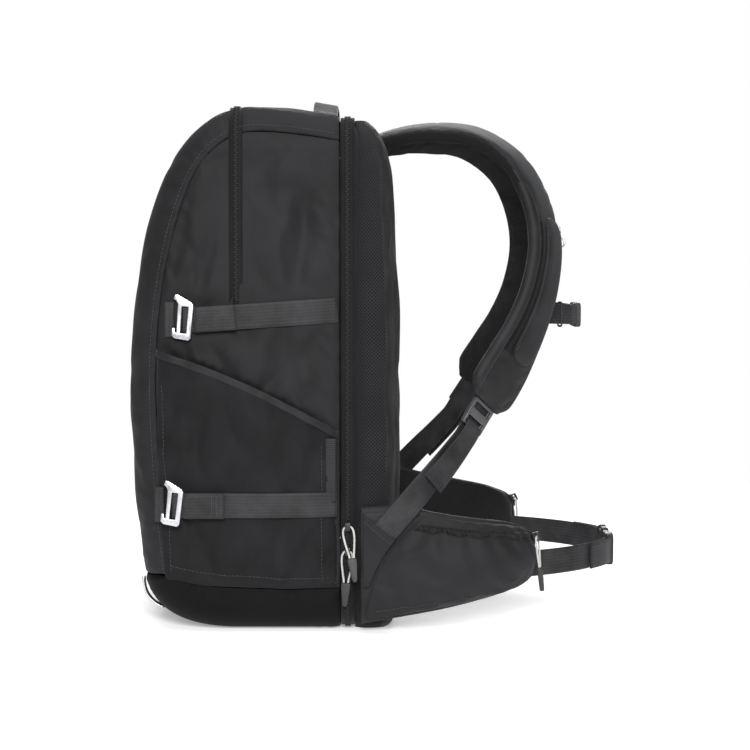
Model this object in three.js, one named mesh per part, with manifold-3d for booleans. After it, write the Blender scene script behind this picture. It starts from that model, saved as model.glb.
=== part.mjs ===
import * as THREE from 'three';
import { mergeVertices } from 'three/addons/utils/BufferGeometryUtils.js';
import Module from 'manifold-3d';

const wasm = await Module();
wasm.setup();

// A trekking backpack that stands on its base, in millimetres. X points from the front of the bag
// to the wearer, Y to the wearer's left and Z up. The origin is the middle of the base.

// Driving dimensions
const gap = 0.3;
const sides = [{ side: 'right', hand: -1 }, { side: 'left', hand: 1 }];

const bag = {
  halfWidth: 150, backX: 75, topZ: 500, wall: 3, cornerRadius: 30,
  frontCrown: 6, sideBulge: 6, bulgeFrontX: -100, seamInset: 26, topZipX: -24,
};
// Blocks that cut the panels apart reach this far past the bag
const past = { side: 220, front: -260, under: -60, over: 620, back: 20 };

// The bag's side outline leaves the flat base here and follows one curve to each row's end
const baseFrontX = -30;
const outlineSteps = 26;
const outlineBends = [
  { leaveX: -75, leaveZ: 1, reachX: -105, reachZ: 14, x: -115, z: 48 },
  { leaveX: -122, leaveZ: 100, reachX: -128.5, reachZ: 180, x: -128.5, z: 240 },
  { leaveX: -128.5, leaveZ: 315, reachX: -116, reachZ: 385, x: -95, z: 437 },
  { leaveX: -78, leaveZ: 480, reachX: -45, reachZ: 508, x: -10, z: 509 },
  { leaveX: 20, leaveZ: 510, reachX: 50, reachZ: 505, x: 75, z: 500 },
];
const baseSeamRows = [
  { x: -250, z: 62 }, { x: -110, z: 54 }, { x: -56, z: 45 }, { x: 26, z: 42 }, { x: 120, z: 44 },
];

const backPanel = { frontX: 89, frontShare: 0.96, channelHalf: 0.13, channelDepth: 8, channelShare: 0.3 };
const backRows = [
  { z: 0, half: 128, rearX: 121 },
  { z: 10, half: 138, rearX: 125 },
  { z: 40, half: 142.8, rearX: 127 },
  { z: 170, half: 142.8, rearX: 130 },
  { z: 290, half: 142.8, rearX: 130 },
  { z: 370, half: 142, rearX: 127 },
  { z: 439, half: 140, rearX: 124 },
  { z: 465, half: 136, rearX: 118 },
  { z: 484, half: 128, rearX: 110 },
  { z: 496, half: 112, rearX: 99 },
];
// Half section of the back panel: share of the half width, and share of the depth left there
const backSection = [
  { across: 1, depth: 0.3 }, { across: 0.985, depth: 0.7 }, { across: 0.93, depth: 0.93 },
  { across: 0.8, depth: 1 }, { across: 0.3, depth: 1 }, { across: 0.2, depth: 0.93 },
];

const mainZip = { fromX: 75.3, toX: 88.7, halfWidth: 148, footZ: 2, topZ: 498, radius: 28, wall: 4.5 };
const topZip = { width: 13, thickness: 1.4, footZ: 320 };

const handle = { outlineShare: 0.979, width: 25, thickness: 4, halfSpan: 66, rise: 13, ramp: 1.6 };

const pocket = { wall: 1.5, seat: 0.7, slack: 12, frontX: -94, backX: 72, footZ: 46, rim: 6 };
const pocketFront = { bow: 8, fromZ: 40, height: 360 };
const pocketMouth = { frontZ: 275, backZ: 196, bow: 7 };
// How fast the slack grows from the pocket's ends, and from its foot to its mouth
const pocketSlack = { ends: 0.7, rise: 1.3 };

const sideWebbing = { width: 24, thickness: 1.4, tail: 38, clear: 0.5, flatSteps: 2 };
const sideStrapRows = [
  { level: 'upper', hookX: -73, hookZ: 304, endX: 73, endZ: 313, lean: 0 },
  { level: 'lower', hookX: -84, hookZ: 126, endX: 72, endZ: 126, lean: 2 },
];
const hook = { thickness: 3.5, barX: 2.2 };
// Outline of the open hook, clockwise from the tip of its upper arm, and its window, anticlockwise
const hookRows = [
  { x: -9.9, z: 20.4 }, { x: -8.4, z: 24.4 }, { x: -5.6, z: 24.0 }, { x: 7.4, z: 16.4 },
  { x: 9.0, z: 13.4 }, { x: 5.8, z: -17.8 }, { x: 3.6, z: -19.9 }, { x: -9.6, z: -17.6 },
  { x: -12.2, z: -14.8 }, { x: -12.0, z: -7.6 }, { x: -9.2, z: -7.4 }, { x: -8.8, z: -12.0 },
  { x: -7.6, z: -12.2 }, { x: -5.9, z: 15.2 }, { x: -7.4, z: 18.4 },
];
const hookWindow = [
  { x: -4.0, z: -13.0 }, { x: 1.6, z: -13.0 }, { x: 4.0, z: 12.4 }, { x: -2.0, z: 13.0 },
];
const hookLoop = { width: 9, thickness: 1.5, half: 17, setBack: 15, bow: 0.6 };

const lashHook = { acrossY: 112, width: 9, thickness: 3, fromShare: 0.218, toShare: 0.262, seat: 0.9 };

const wing = { pad: 12, edge: 3.5 };
const wingRows = [
  { x: 95, y: 149.2, top: 122, foot: 9 },
  { x: 133, y: 151, top: 124, foot: 16 },
  { x: 171, y: 150, top: 117, foot: 23 },
  { x: 205, y: 143, top: 111, foot: 30 },
  { x: 235, y: 131, top: 106, foot: 37 },
  { x: 254, y: 119, top: 98, foot: 46 },
  { x: 261, y: 113.5, top: 86, foot: 54 },
];
const hipPocket = {
  wall: 1.5, depth: 22, seat: 0.8, startTop: 0.28, startFoot: 0.02, end: 0.93, foot: 0.03, head: 0.97,
};
// How full the hip pocket is along and up it, as powers of a sine
const hipFullness = { along: 0.7, up: 0.6 };
const hipPocketUp = [0, 0.12, 0.3, 0.5, 0.68, 0.82, 0.92, 1];
const hipZip = { fromRow: 5, toRow: 6, thickness: 1.2 };
const gusset = { thickness: 1.6, foot: 0.32, head: 0.96, start: 0.012 };

const beltWebbing = { width: 26, thickness: 2, tail: 46, fold: 2.4, turnOut: 0.6 };
const beltRows = [
  { x: 246, y: 124 }, { x: 262, y: 113 }, { x: 290, y: 97 },
  { x: 318, y: 75 }, { x: 338, y: 51 }, { x: 347, y: 34 },
];
const beltBuckle = { x: 352, z: 61, depth: 9, height: 33, round: 3, split: 4, reach: 31.3 };

const padRows = [
  { x: 100, y: 50, z: 475, width: 60, thick: 12, roll: 4 },
  { x: 129, y: 54, z: 484, width: 64, thick: 13, roll: 8 },
  { x: 167, y: 62, z: 488, width: 68, thick: 14, roll: 10 },
  { x: 208, y: 69, z: 483, width: 70, thick: 14, roll: 13 },
  { x: 245, y: 75, z: 459, width: 70, thick: 14, roll: 17 },
  { x: 267, y: 80, z: 422, width: 70, thick: 14, roll: 21 },
  { x: 276, y: 84, z: 378, width: 70, thick: 14, roll: 24 },
  { x: 271, y: 88, z: 332, width: 70, thick: 14, roll: 29 },
  { x: 257, y: 94, z: 291, width: 70, thick: 14, roll: 35 },
  { x: 240, y: 103, z: 258, width: 70, thick: 13, roll: 42 },
  { x: 224, y: 111.5, z: 232, width: 66, thick: 11, roll: 46 },
  { x: 216.5, y: 115, z: 220, width: 44, thick: 8, roll: 47 },
];
const padSection = [
  { across: 0.5, out: 0 }, { across: 0.47, out: 0.32 }, { across: 0.38, out: 0.5 },
  { across: -0.38, out: 0.5 }, { across: -0.47, out: 0.32 }, { across: -0.5, out: 0 },
  { across: -0.47, out: -0.32 }, { across: -0.38, out: -0.5 }, { across: 0.38, out: -0.5 },
  { across: 0.47, out: -0.32 },
];
const padSteps = 26;
const overlay = { width: 46, thickness: 7, fromStep: 13, toStep: 21, taper: 0.72 };

const loadWebbing = { width: 25, thickness: 1.8, tail: 74, clear: 0.8, straight: 16 };
const loadRows = [
  { x: 115, y: 160.2, z: 96, roll: 90 },
  { x: 129, y: 161, z: 113, roll: 88 },
  { x: 141, y: 161.3, z: 127, roll: 87 },
  { x: 157, y: 152, z: 145, roll: 72 },
  { x: 175, y: 137, z: 165, roll: 58 },
];
const ladderLock = { width: 33, length: 28, thickness: 4, bar: 3.2, slot: 6.5, rail: 3.2 };

const sternumWebbing = { width: 20, thickness: 1.6 };
const sternumRows = [
  { x: 274, y: 70, z: 307 }, { x: 292, y: 54, z: 306 },
  { x: 308, y: 38, z: 305 }, { x: 316.5, y: 20, z: 304 },
];
const sternumBuckle = { x: 318, z: 304, half: 19, depth: 8, height: 25, round: 3 };

const slider = { width: 5, height: 10, depth: 6.5, eye: 3, eyeHeight: 6, floor: 2, bevel: 1 };
const pullCord = { diameter: 2, sides: 8, steps: 12 };
// Half of a pull's cord loop below the slider's eye, from the eye down to the grip
const pullRows = [
  { x: 0, z: 0 }, { x: 3.2, z: -0.9 }, { x: 4.9, z: -4 }, { x: 5.2, z: -9 }, { x: 4.6, z: -15 },
  { x: 3.6, z: -21 }, { x: 2.5, z: -27 }, { x: 2.1, z: -30.5 },
];
const pullGrip = { topWidth: 9, footWidth: 5, length: 23, thickness: 4, shoulder: 5, round: 1 };
const mainSliderRows = [
  { name: 'upper', x: 82, z: 104, lean: 8, lift: 14 },
  { name: 'lower', x: 82, z: 80, lean: -3, lift: 1 },
];
const hipSliderSeat = { along: 0.86, up: 0.87, lift: 0.5, hang: 6 };

const finishes = {
  nylon: { color: 0x3a3a3c, roughness: 0.85, metalness: 0 },
  spacer: { color: 0x2c2c2e, roughness: 0.95, metalness: 0 },
  webbing: { color: 0x404042, roughness: 0.8, metalness: 0 },
  zip: { color: 0x242426, roughness: 0.55, metalness: 0 },
  stretch: { color: 0x313133, roughness: 0.9, metalness: 0 },
  aluminium: { color: 0xd6d7d9, roughness: 0.32, metalness: 1 },
  acetal: { color: 0x29292b, roughness: 0.45, metalness: 0 },
  cord: { color: 0xc9c9c6, roughness: 0.75, metalness: 0 },
};

// Geometry tools

const vector = (x, y, z) => new THREE.Vector3(x, y, z);
const mix = THREE.MathUtils.lerp;
const radians = THREE.MathUtils.degToRad;

// An indexed geometry whose faces point out of the closed body that they bound
function closedGeometry(points, triangles) {
  let volume = 0;
  for (let i = 0; i < triangles.length; i += 3) {
    const [a, b, c] = [points[triangles[i]], points[triangles[i + 1]], points[triangles[i + 2]]];
    volume += a.dot(b.clone().cross(c));
  }
  const facing = volume < 0 ? triangles.toReversed() : triangles;
  const geometry = new THREE.BufferGeometry();
  const places = points.flatMap((p) => p.toArray());
  geometry.setAttribute('position', new THREE.Float32BufferAttribute(places, 3));
  geometry.setIndex(facing);
  geometry.computeVertexNormals();
  return geometry;
}

// A solid through rings of equal length, closed at each end by a fan about the ring's middle
function loft(rings) {
  const size = rings[0].length;
  const points = rings.flat();
  const triangles = [];
  for (let row = 0; row + 1 < rings.length; row += 1) {
    for (let i = 0; i < size; i += 1) {
      const a = row * size + i;
      const b = row * size + (i + 1) % size;
      triangles.push(a, b, b + size, a, b + size, a + size);
    }
  }
  const lastRow = (rings.length - 1) * size;
  for (const [start, turned] of [[0, true], [lastRow, false]]) {
    const middle = vector(0, 0, 0);
    for (let i = 0; i < size; i += 1) {
      middle.addScaledVector(points[start + i], 1 / size);
      const a = start + i;
      const b = start + (i + 1) % size;
      triangles.push(...(turned ? [b, a] : [a, b]), points.length);
    }
    points.push(middle);
  }
  return closedGeometry(points, triangles);
}

// A cloth wall between two grids of points with the same rows and columns
function clothWall(outer, inner) {
  const rows = outer.length;
  const columns = outer[0].length;
  const half = rows * columns;
  const triangles = [];
  const quad = (a, b, c, d) => triangles.push(a, b, c, a, c, d);
  for (let row = 0; row + 1 < rows; row += 1) {
    for (let column = 0; column + 1 < columns; column += 1) {
      const a = row * columns + column;
      quad(a, a + 1, a + columns + 1, a + columns);
      quad(half + a, half + a + columns, half + a + columns + 1, half + a + 1);
    }
  }
  const last = (rows - 1) * columns;
  for (let column = 0; column + 1 < columns; column += 1) {
    quad(column, half + column, half + column + 1, column + 1);
    quad(last + column, last + column + 1, half + last + column + 1, half + last + column);
  }
  for (let row = 0; row + 1 < rows; row += 1) {
    const a = row * columns;
    const b = a + columns - 1;
    quad(a, a + columns, half + a + columns, half + a);
    quad(b, half + b, half + b + columns, b + columns);
  }
  return closedGeometry([...outer.flat(), ...inner.flat()], triangles);
}

// A flat band: each station's ring has the band's width across and its thickness along the normal
function band(stations, width, thickness) {
  const rings = stations.map(({ at, across }, i) => {
    const before = stations[Math.max(i - 1, 0)].at;
    const after = stations[Math.min(i + 1, stations.length - 1)].at;
    const tangent = after.clone().sub(before).normalize();
    const normal = tangent.clone().cross(across).normalize();
    const flat = normal.clone().cross(tangent).normalize();
    const half = flat.multiplyScalar(width / 2);
    const face = normal.multiplyScalar(thickness / 2);
    const corner = (w, t) => at.clone().addScaledVector(half, w).addScaledVector(face, t);
    return [corner(-1, -1), corner(1, -1), corner(1, 1), corner(-1, 1)];
  });
  return loft(rings);
}

// A route that turns back on itself: round a bar at its end, to the given side, then back by a tail
function foldedRoute(stations, towards, radius, tail) {
  const turnSteps = 6;
  const count = stations.length;
  const end = stations[count - 1];
  const heading = end.at.clone().sub(stations[count - 2].at).normalize();
  const up = towards.clone().addScaledVector(heading, -towards.dot(heading)).normalize();
  const centre = end.at.clone().addScaledVector(up, radius);
  const turn = [];
  for (let i = 1; i < turnSteps; i += 1) {
    const angle = Math.PI * i / turnSteps;
    const at = centre.clone();
    at.addScaledVector(up, -radius * Math.cos(angle)).addScaledVector(heading, radius * Math.sin(angle));
    turn.push({ at, across: end.across });
  }
  const back = [];
  let length = 0;
  for (let i = count - 1; i >= 0 && length <= tail; i -= 1) {
    if (i < count - 1) {
      length += stations[i].at.distanceTo(stations[i + 1].at);
    }
    back.push({ at: stations[i].at.clone().addScaledVector(up, 2 * radius), across: stations[i].across });
  }
  return [...stations, ...turn, ...back];
}

// A prism over an outline of x and z, between two places across the bag
function prism(outlinePoints, fromY, toY, holePoints = null) {
  const shape = new THREE.Shape(outlinePoints.map(({ x, z }) => new THREE.Vector2(x, z)));
  if (holePoints) {
    shape.holes.push(new THREE.Path(holePoints.map(({ x, z }) => new THREE.Vector2(x, z))));
  }
  const geometry = new THREE.ExtrudeGeometry(shape, { depth: toY - fromY, bevelEnabled: false });
  const upright = new THREE.Matrix4().makeBasis(vector(1, 0, 0), vector(0, 0, 1), vector(0, -1, 0));
  geometry.applyMatrix4(upright);
  return geometry.translate(0, toY, 0);
}

function toSolid(geometry) {
  const bare = new THREE.BufferGeometry();
  bare.setAttribute('position', geometry.getAttribute('position').clone());
  bare.setIndex(geometry.getIndex());
  const merged = mergeVertices(bare, 1e-4);
  return new wasm.Manifold(new wasm.Mesh({
    numProp: 3,
    vertProperties: new Float32Array(merged.getAttribute('position').array),
    triVerts: new Uint32Array(merged.getIndex().array),
  }));
}

function toGeometry(solid) {
  const { vertProperties, triVerts } = solid.getMesh();
  const geometry = new THREE.BufferGeometry();
  geometry.setAttribute('position', new THREE.BufferAttribute(new Float32Array(vertProperties), 3));
  geometry.setIndex(new THREE.BufferAttribute(new Uint32Array(triVerts), 1));
  geometry.computeVertexNormals();
  return geometry;
}

const cut = (geometry, tool) => toGeometry(toSolid(geometry).subtract(toSolid(tool)));

// Short tables run as smooth curves: a point for each named column triple, by share of the rows
const curveThrough = (rows, pick) => new THREE.CatmullRomCurve3(rows.map(pick), false, 'catmullrom');

const backpack = new THREE.Group();

function addPart(name, geometry, finish, parent = backpack) {
  const mesh = new THREE.Mesh(geometry, new THREE.MeshStandardMaterial(finishes[finish]));
  mesh.name = name;
  parent.add(mesh);
  return mesh;
}

// Bag shell: five panels cut from one rounded body that is open towards the back panel

const outline = new THREE.Path();
outline.moveTo(bag.backX, 0);
outline.lineTo(baseFrontX, 0);
for (const bend of outlineBends) {
  outline.bezierCurveTo(bend.leaveX, bend.leaveZ, bend.reachX, bend.reachZ, bend.x, bend.z);
}

// A point of the side outline and the way out of the bag there, by share of the outline's length
function outlineAt(share) {
  const point = outline.getPointAt(share);
  const tangent = outline.getTangentAt(share);
  return { x: point.x, z: point.y, outX: -tangent.y, outZ: tangent.x };
}

// How far the filled side stands out past the bag's half width
function sideBulge(x, z) {
  const along = THREE.MathUtils.clamp((x - bag.bulgeFrontX) / (bag.backX - bag.bulgeFrontX), 0, 1);
  const up = THREE.MathUtils.clamp(z / bag.topZ, 0, 1);
  return bag.sideBulge * 16 * along * (1 - along) * up * (1 - up);
}

// One ring of the bag: the outline moved in by the rounded corner and out by the front crown
function bagRing(skin, backX, { across, inset, bulge }) {
  const reach = bag.halfWidth - skin;
  const ring = [];
  for (let i = 0; i <= outlineSteps; i += 1) {
    const spot = outlineAt(i / outlineSteps);
    const crown = bag.frontCrown * Math.max(0, -spot.outX) * (1 - (across / reach) ** 2);
    const move = inset + skin;
    const x = i === 0 || i === outlineSteps ? backX : spot.x - spot.outX * move - crown;
    const z = spot.z - spot.outZ * move;
    ring.push(vector(x, across + bulge * sideBulge(x, z), z));
  }
  return ring;
}

// The whole bag as a solid, moved in by a skin: rings across it, and two more on each flat side
function bagBody(skin, backX) {
  const cornerSteps = 3;
  const sideShares = [0.68, 0.34];
  const hub = { x: -15, z: 250 };
  const reach = bag.halfWidth - skin;
  const radius = bag.cornerRadius - skin;
  const half = (hand) => {
    const rings = [];
    for (let i = 0; i <= cornerSteps; i += 1) {
      const angle = Math.PI / 2 * (1 - i / cornerSteps);
      const across = hand * (reach - radius + radius * Math.sin(angle));
      const inset = radius * (1 - Math.cos(angle));
      rings.push(bagRing(skin, backX, { across, inset, bulge: hand * Math.sin(angle) }));
    }
    const rim = rings[0];
    for (const share of sideShares) {
      rings.unshift(rim.map((p) => {
        const x = mix(hub.x, p.x, share);
        const z = mix(hub.z, p.z, share);
        return vector(x, hand * (reach + sideBulge(x, z)), z);
      }));
    }
    return rings;
  };
  const middle = (share) => bagRing(skin, backX, { across: share * reach, inset: 0, bulge: 0 });
  return loft([...half(-1), middle(-0.4), middle(0), middle(0.4), ...half(1).reverse()]);
}

function insetOutline(inset) {
  const points = [];
  for (let i = 0; i <= outlineSteps; i += 1) {
    const spot = outlineAt(i / outlineSteps);
    points.push({ x: spot.x - spot.outX * inset, z: spot.z - spot.outZ * inset });
  }
  const backX = bag.backX + past.back;
  return [{ x: backX, z: points[0].z }, ...points, { x: backX, z: points.at(-1).z }];
}

function sideBlock(hand, inset) {
  const near = bag.halfWidth / 2;
  const [fromY, toY] = hand < 0 ? [-past.side, -near] : [near, past.side];
  return toSolid(prism(insetOutline(inset), fromY, toY));
}

function baseBlock(lower) {
  const seam = baseSeamRows.map(({ x, z }) => ({ x, z: z - lower }));
  const foot = [{ x: seam.at(-1).x, z: past.under }, { x: seam[0].x, z: past.under }];
  return toSolid(prism([...seam, ...foot], -past.side, past.side));
}

function uprightBlock(fromX, toX, footZ) {
  const corners = [
    { x: fromX, z: footZ }, { x: toX, z: footZ }, { x: toX, z: past.over }, { x: fromX, z: past.over },
  ];
  return toSolid(prism(corners, -past.side, past.side));
}

const frontBlock = (toX) => uprightBlock(past.front, toX, past.under);

function bagShell(outerSkin, wall) {
  const hollow = toSolid(bagBody(outerSkin + wall, bag.backX + past.back));
  return toSolid(bagBody(outerSkin, bag.backX)).subtract(hollow);
}

const shell = bagShell(0, bag.wall);
const aboveBase = shell.subtract(baseBlock(0));
let gusseted = aboveBase;
for (const { side, hand } of sides) {
  const panel = aboveBase.intersect(sideBlock(hand, bag.seamInset + gap / 2));
  addPart(`side_panel_${side}`, toGeometry(panel), 'nylon');
  gusseted = gusseted.subtract(sideBlock(hand, bag.seamInset - gap / 2));
}
addPart('front_panel', toGeometry(gusseted.intersect(frontBlock(bag.topZipX - gap / 2))), 'nylon');
addPart('top_panel', toGeometry(gusseted.subtract(frontBlock(bag.topZipX + gap / 2))), 'nylon');
addPart('base_panel', toGeometry(shell.intersect(baseBlock(gap))), 'nylon');

// Where the side wall's outer face lies, as a distance from the middle of the bag
const sideFace = (x, z) => bag.halfWidth + sideBulge(x, z);

// Zip round the back panel and zip over the top

function roundedLoop(halfWidth, footZ, topZ, radius) {
  const path = new THREE.Shape();
  path.moveTo(-halfWidth + radius, footZ);
  path.lineTo(halfWidth - radius, footZ);
  path.absarc(halfWidth - radius, footZ + radius, radius, -Math.PI / 2, 0);
  path.absarc(halfWidth - radius, topZ - radius, radius, 0, Math.PI / 2);
  path.absarc(-halfWidth + radius, topZ - radius, radius, Math.PI / 2, Math.PI);
  path.absarc(-halfWidth + radius, footZ + radius, radius, Math.PI, Math.PI * 1.5);
  return path;
}

function mainZipRing() {
  const { fromX, toX, halfWidth, footZ, topZ, radius, wall } = mainZip;
  const shape = roundedLoop(halfWidth, footZ, topZ, radius);
  shape.holes.push(roundedLoop(halfWidth - wall, footZ + wall, topZ - wall, radius - wall));
  const depth = toX - fromX;
  const geometry = new THREE.ExtrudeGeometry(shape, { depth, bevelEnabled: false, curveSegments: 4 });
  const upright = new THREE.Matrix4().makeBasis(vector(0, 1, 0), vector(0, 0, 1), vector(1, 0, 0));
  geometry.applyMatrix4(upright);
  return geometry.translate(fromX, 0, 0);
}

addPart('main_zip', mainZipRing(), 'zip');

// The top zip is cut from a slightly larger body of the bag, so that it lies on the cloth
function topZipStrip() {
  const { width, thickness, footZ } = topZip;
  const lying = bagShell(-gap - thickness, thickness);
  return toGeometry(lying.intersect(uprightBlock(bag.topZipX - width / 2, bag.topZipX + width / 2, footZ)));
}

addPart('top_zip', topZipStrip(), 'zip');

// Grab handle: an arched band over the top, near the back panel

function handleArch() {
  const steps = 14;
  const { outlineShare, width, thickness, halfSpan, rise, ramp } = handle;
  const spot = outlineAt(outlineShare);
  const off = gap + thickness / 2;
  const seat = { x: spot.x + spot.outX * off, z: spot.z + spot.outZ * off };
  const across = vector(spot.outZ, 0, -spot.outX);
  const stations = [];
  for (let i = 0; i <= steps; i += 1) {
    const share = 2 * i / steps - 1;
    const lift = rise * (1 - share ** 4) * Math.min(1, ramp * (1 - Math.abs(share)));
    stations.push({ at: vector(seat.x, share * halfSpan, seat.z + lift), across });
  }
  return band(stations, width, thickness);
}

addPart('grab_handle', handleArch(), 'webbing');

// Stretch pockets: slack at the slanted mouth, sewn flat round the other three edges

function pocketMouthZ(along) {
  return mix(pocketMouth.frontZ, pocketMouth.backZ, along) + 4 * pocketMouth.bow * along * (1 - along);
}

function pocketFrontX(z) {
  const { bow, fromZ, height } = pocketFront;
  return pocket.frontX - bow * Math.sin(Math.PI * (z - fromZ) / height);
}

// How far the pocket's inner face stands off the side wall
function pocketOff(along, up) {
  const open = Math.sin(Math.PI * THREE.MathUtils.clamp(along, 0, 1)) ** pocketSlack.ends;
  return pocket.seat + pocket.slack * open * THREE.MathUtils.clamp(up, 0, 1) ** pocketSlack.rise;
}

function pocketWall(hand) {
  const rows = 6;
  const columns = 10;
  const outer = [];
  const inner = [];
  for (let row = 0; row <= rows; row += 1) {
    const up = row / rows;
    const line = (lift) => Array.from({ length: columns + 1 }, (_, column) => {
      const along = column / columns;
      const z = mix(pocket.footZ, pocketMouthZ(along), up);
      const x = mix(pocketFrontX(z), pocket.backX, along);
      return vector(x, hand * (sideFace(x, z) + pocketOff(along, up) + lift), z);
    });
    inner.push(line(0));
    outer.push(line(pocket.wall));
  }
  return clothWall(outer, inner);
}

// Outer face of whatever covers the side at a place: the bare wall or the pocket
function coveredFace(x, z) {
  const along = (x - pocketFrontX(z)) / (pocket.backX - pocketFrontX(z));
  const mouthZ = pocketMouthZ(THREE.MathUtils.clamp(along, 0, 1));
  if (z > mouthZ + pocket.rim || along < 0) {
    return sideFace(x, z);
  }
  return sideFace(x, z) + pocketOff(along, (z - pocket.footZ) / (mouthZ - pocket.footZ)) + pocket.wall;
}

// Side straps: webbing sewn in at the back, folded round the bar of an open metal hook

function sideStrapParts(row, side, hand) {
  const { level, hookX, hookZ, endX, endZ, lean } = row;
  const { width, thickness, tail, clear, flatSteps } = sideWebbing;
  const steps = 10;
  const turn = hook.thickness / 2 + clear + thickness / 2;
  const barX = hookX + hook.barX;
  const flatFromX = mix(endX, barX, 1 - flatSteps / steps);
  const stations = [];
  for (let i = 0; i <= steps; i += 1) {
    const x = mix(endX, barX, i / steps);
    const z = mix(endZ, hookZ, i / steps);
    const coverX = Math.max(x, flatFromX);
    const faces = [z - width / 2, z, z + width / 2].map((edge) => coveredFace(coverX, edge));
    const off = Math.max(...faces) + clear + thickness / 2;
    stations.push({ at: vector(x, hand * off, z), across: vector(0, 0, 1) });
  }
  const outward = vector(0, hand, 0);
  const folded = foldedRoute(stations, outward, turn, tail);
  addPart(`${level}_strap_${side}`, band(folded, width, thickness), 'webbing');

  const place = new THREE.Group();
  const bar = stations[steps].at;
  place.position.set(hookX, bar.y + hand * turn, hookZ);
  place.rotation.y = radians(lean);
  backpack.add(place);
  const half = hook.thickness / 2;
  addPart(`${level}_hook_${side}`, prism(hookRows, -half, half, hookWindow), 'aluminium', place);

  const loopX = hookX - hookLoop.setBack;
  const loopStations = [];
  const loopSteps = 6;
  for (let i = 0; i <= loopSteps; i += 1) {
    const share = 2 * i / loopSteps - 1;
    const z = hookZ + share * hookLoop.half;
    const edge = hookLoop.width / 2;
    const face = Math.max(coveredFace(loopX - edge, z), coveredFace(loopX + edge, z));
    const off = face + clear + hookLoop.thickness / 2 + hookLoop.bow * (1 - share ** 2);
    loopStations.push({ at: vector(loopX, hand * off, z), across: vector(1, 0, 0) });
  }
  addPart(`${level}_loop_${side}`, band(loopStations, hookLoop.width, hookLoop.thickness), 'webbing');
}

// Lash hooks: short metal strips that follow the lower front corner

function lashHookStrip(hand) {
  const { acrossY, width, thickness, fromShare, toShare, seat } = lashHook;
  const steps = 5;
  const stations = [];
  for (let i = 0; i <= steps; i += 1) {
    const spot = outlineAt(mix(fromShare, toShare, i / steps));
    const crown = bag.frontCrown * Math.max(0, -spot.outX) * (1 - (acrossY / bag.halfWidth) ** 2);
    const lift = seat + thickness / 2;
    const at = vector(spot.x + spot.outX * lift - crown, hand * acrossY, spot.z + spot.outZ * lift);
    stations.push({ at, across: vector(0, 1, 0) });
  }
  return band(stations, width, thickness);
}

// Back panel: two vertical pads with a channel between them

function backPanelBody(grow) {
  const { frontX, frontShare, channelHalf, channelDepth, channelShare } = backPanel;
  const rings = backRows.map((row, i) => {
    const depth = row.rearX - frontX + grow;
    const half = row.half + grow;
    const z = i === backRows.length - 1 ? row.z + grow : row.z;
    const channelX = frontX + depth - Math.min(channelDepth, depth * channelShare);
    const front = (hand) => vector(frontX - grow, hand * half * frontShare, z);
    const channel = (hand) => vector(channelX, hand * row.half * channelHalf, z);
    const rear = (hand) => backSection.map((spot) => (
      vector(frontX + depth * spot.depth, hand * half * spot.across, z)
    ));
    return [front(-1), ...rear(-1), channel(-1), channel(1), ...rear(1).reverse(), front(1)];
  });
  return loft(rings);
}

addPart('back_panel', backPanelBody(0), 'spacer');

// Shoulder harness

const padPath = curveThrough(padRows, ({ x, y, z }) => vector(x, y, z));
const padSize = curveThrough(padRows, ({ width, thick, roll }) => vector(width, thick, roll));

// The way across a strap, from its outer to its inner edge, rolled out of level about its tangent
function strapAcross(tangent, roll, hand) {
  const flat = vector(tangent.x, 0, tangent.z).normalize();
  const arch = vector(-flat.z, 0, flat.x);
  const across = vector(0, -hand * Math.cos(radians(roll)), 0);
  across.addScaledVector(arch, Math.sin(radians(roll)));
  return across.addScaledVector(tangent, -across.dot(tangent)).normalize();
}

function padAt(share, hand) {
  const at = padPath.getPoint(share);
  const tangent = padPath.getTangent(share);
  at.y *= hand;
  tangent.y *= hand;
  const size = padSize.getPoint(share);
  const across = strapAcross(tangent, size.z, hand);
  const out = across.clone().cross(tangent).multiplyScalar(hand).normalize();
  if (out.dot(vector(-tangent.z, 0, tangent.x)) < 0) {
    out.negate();
  }
  return { at, tangent, across, out, width: size.x, thick: size.y };
}

function padBody(hand, grow) {
  const rings = [];
  for (let i = 0; i <= padSteps; i += 1) {
    const { at, across, out, width, thick } = padAt(i / padSteps, hand);
    rings.push(padSection.map((spot) => at.clone()
      .addScaledVector(across, spot.across * (width + 2 * grow))
      .addScaledVector(out, spot.out * (thick + 2 * grow))));
  }
  return loft(rings);
}

function overlayBody(hand) {
  const rings = [];
  for (let i = overlay.fromStep; i <= overlay.toStep; i += 1) {
    const { at, across, out, thick } = padAt(i / padSteps, hand);
    const ended = i === overlay.fromStep || i === overlay.toStep;
    const share = ended ? overlay.taper : 1;
    const foot = at.clone().addScaledVector(out, thick / 2 + 2 * gap);
    const middle = foot.addScaledVector(out, overlay.thickness * share / 2);
    rings.push(padSection.map((spot) => middle.clone()
      .addScaledVector(across, spot.across * overlay.width * share)
      .addScaledVector(out, spot.out * overlay.thickness * share)));
  }
  return loft(rings);
}

// Ladder-lock in its own frame: X across the strap, Y along it from the pad's end, Z out of its face
function ladderLockBody() {
  const { width, length, thickness, bar, slot, rail } = ladderLock;
  const rectangle = (fromX, toX, fromY, toY) => [
    new THREE.Vector2(fromX, fromY), new THREE.Vector2(toX, fromY),
    new THREE.Vector2(toX, toY), new THREE.Vector2(fromX, toY),
  ];
  const shape = new THREE.Shape(rectangle(-width / 2, width / 2, 0, length));
  const inside = width / 2 - rail;
  for (const start of [bar, length - bar - slot]) {
    shape.holes.push(new THREE.Path(rectangle(-inside, inside, start, start + slot)));
  }
  const geometry = new THREE.ExtrudeGeometry(shape, { depth: thickness, bevelEnabled: false });
  return geometry.translate(0, 0, -thickness / 2);
}

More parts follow.
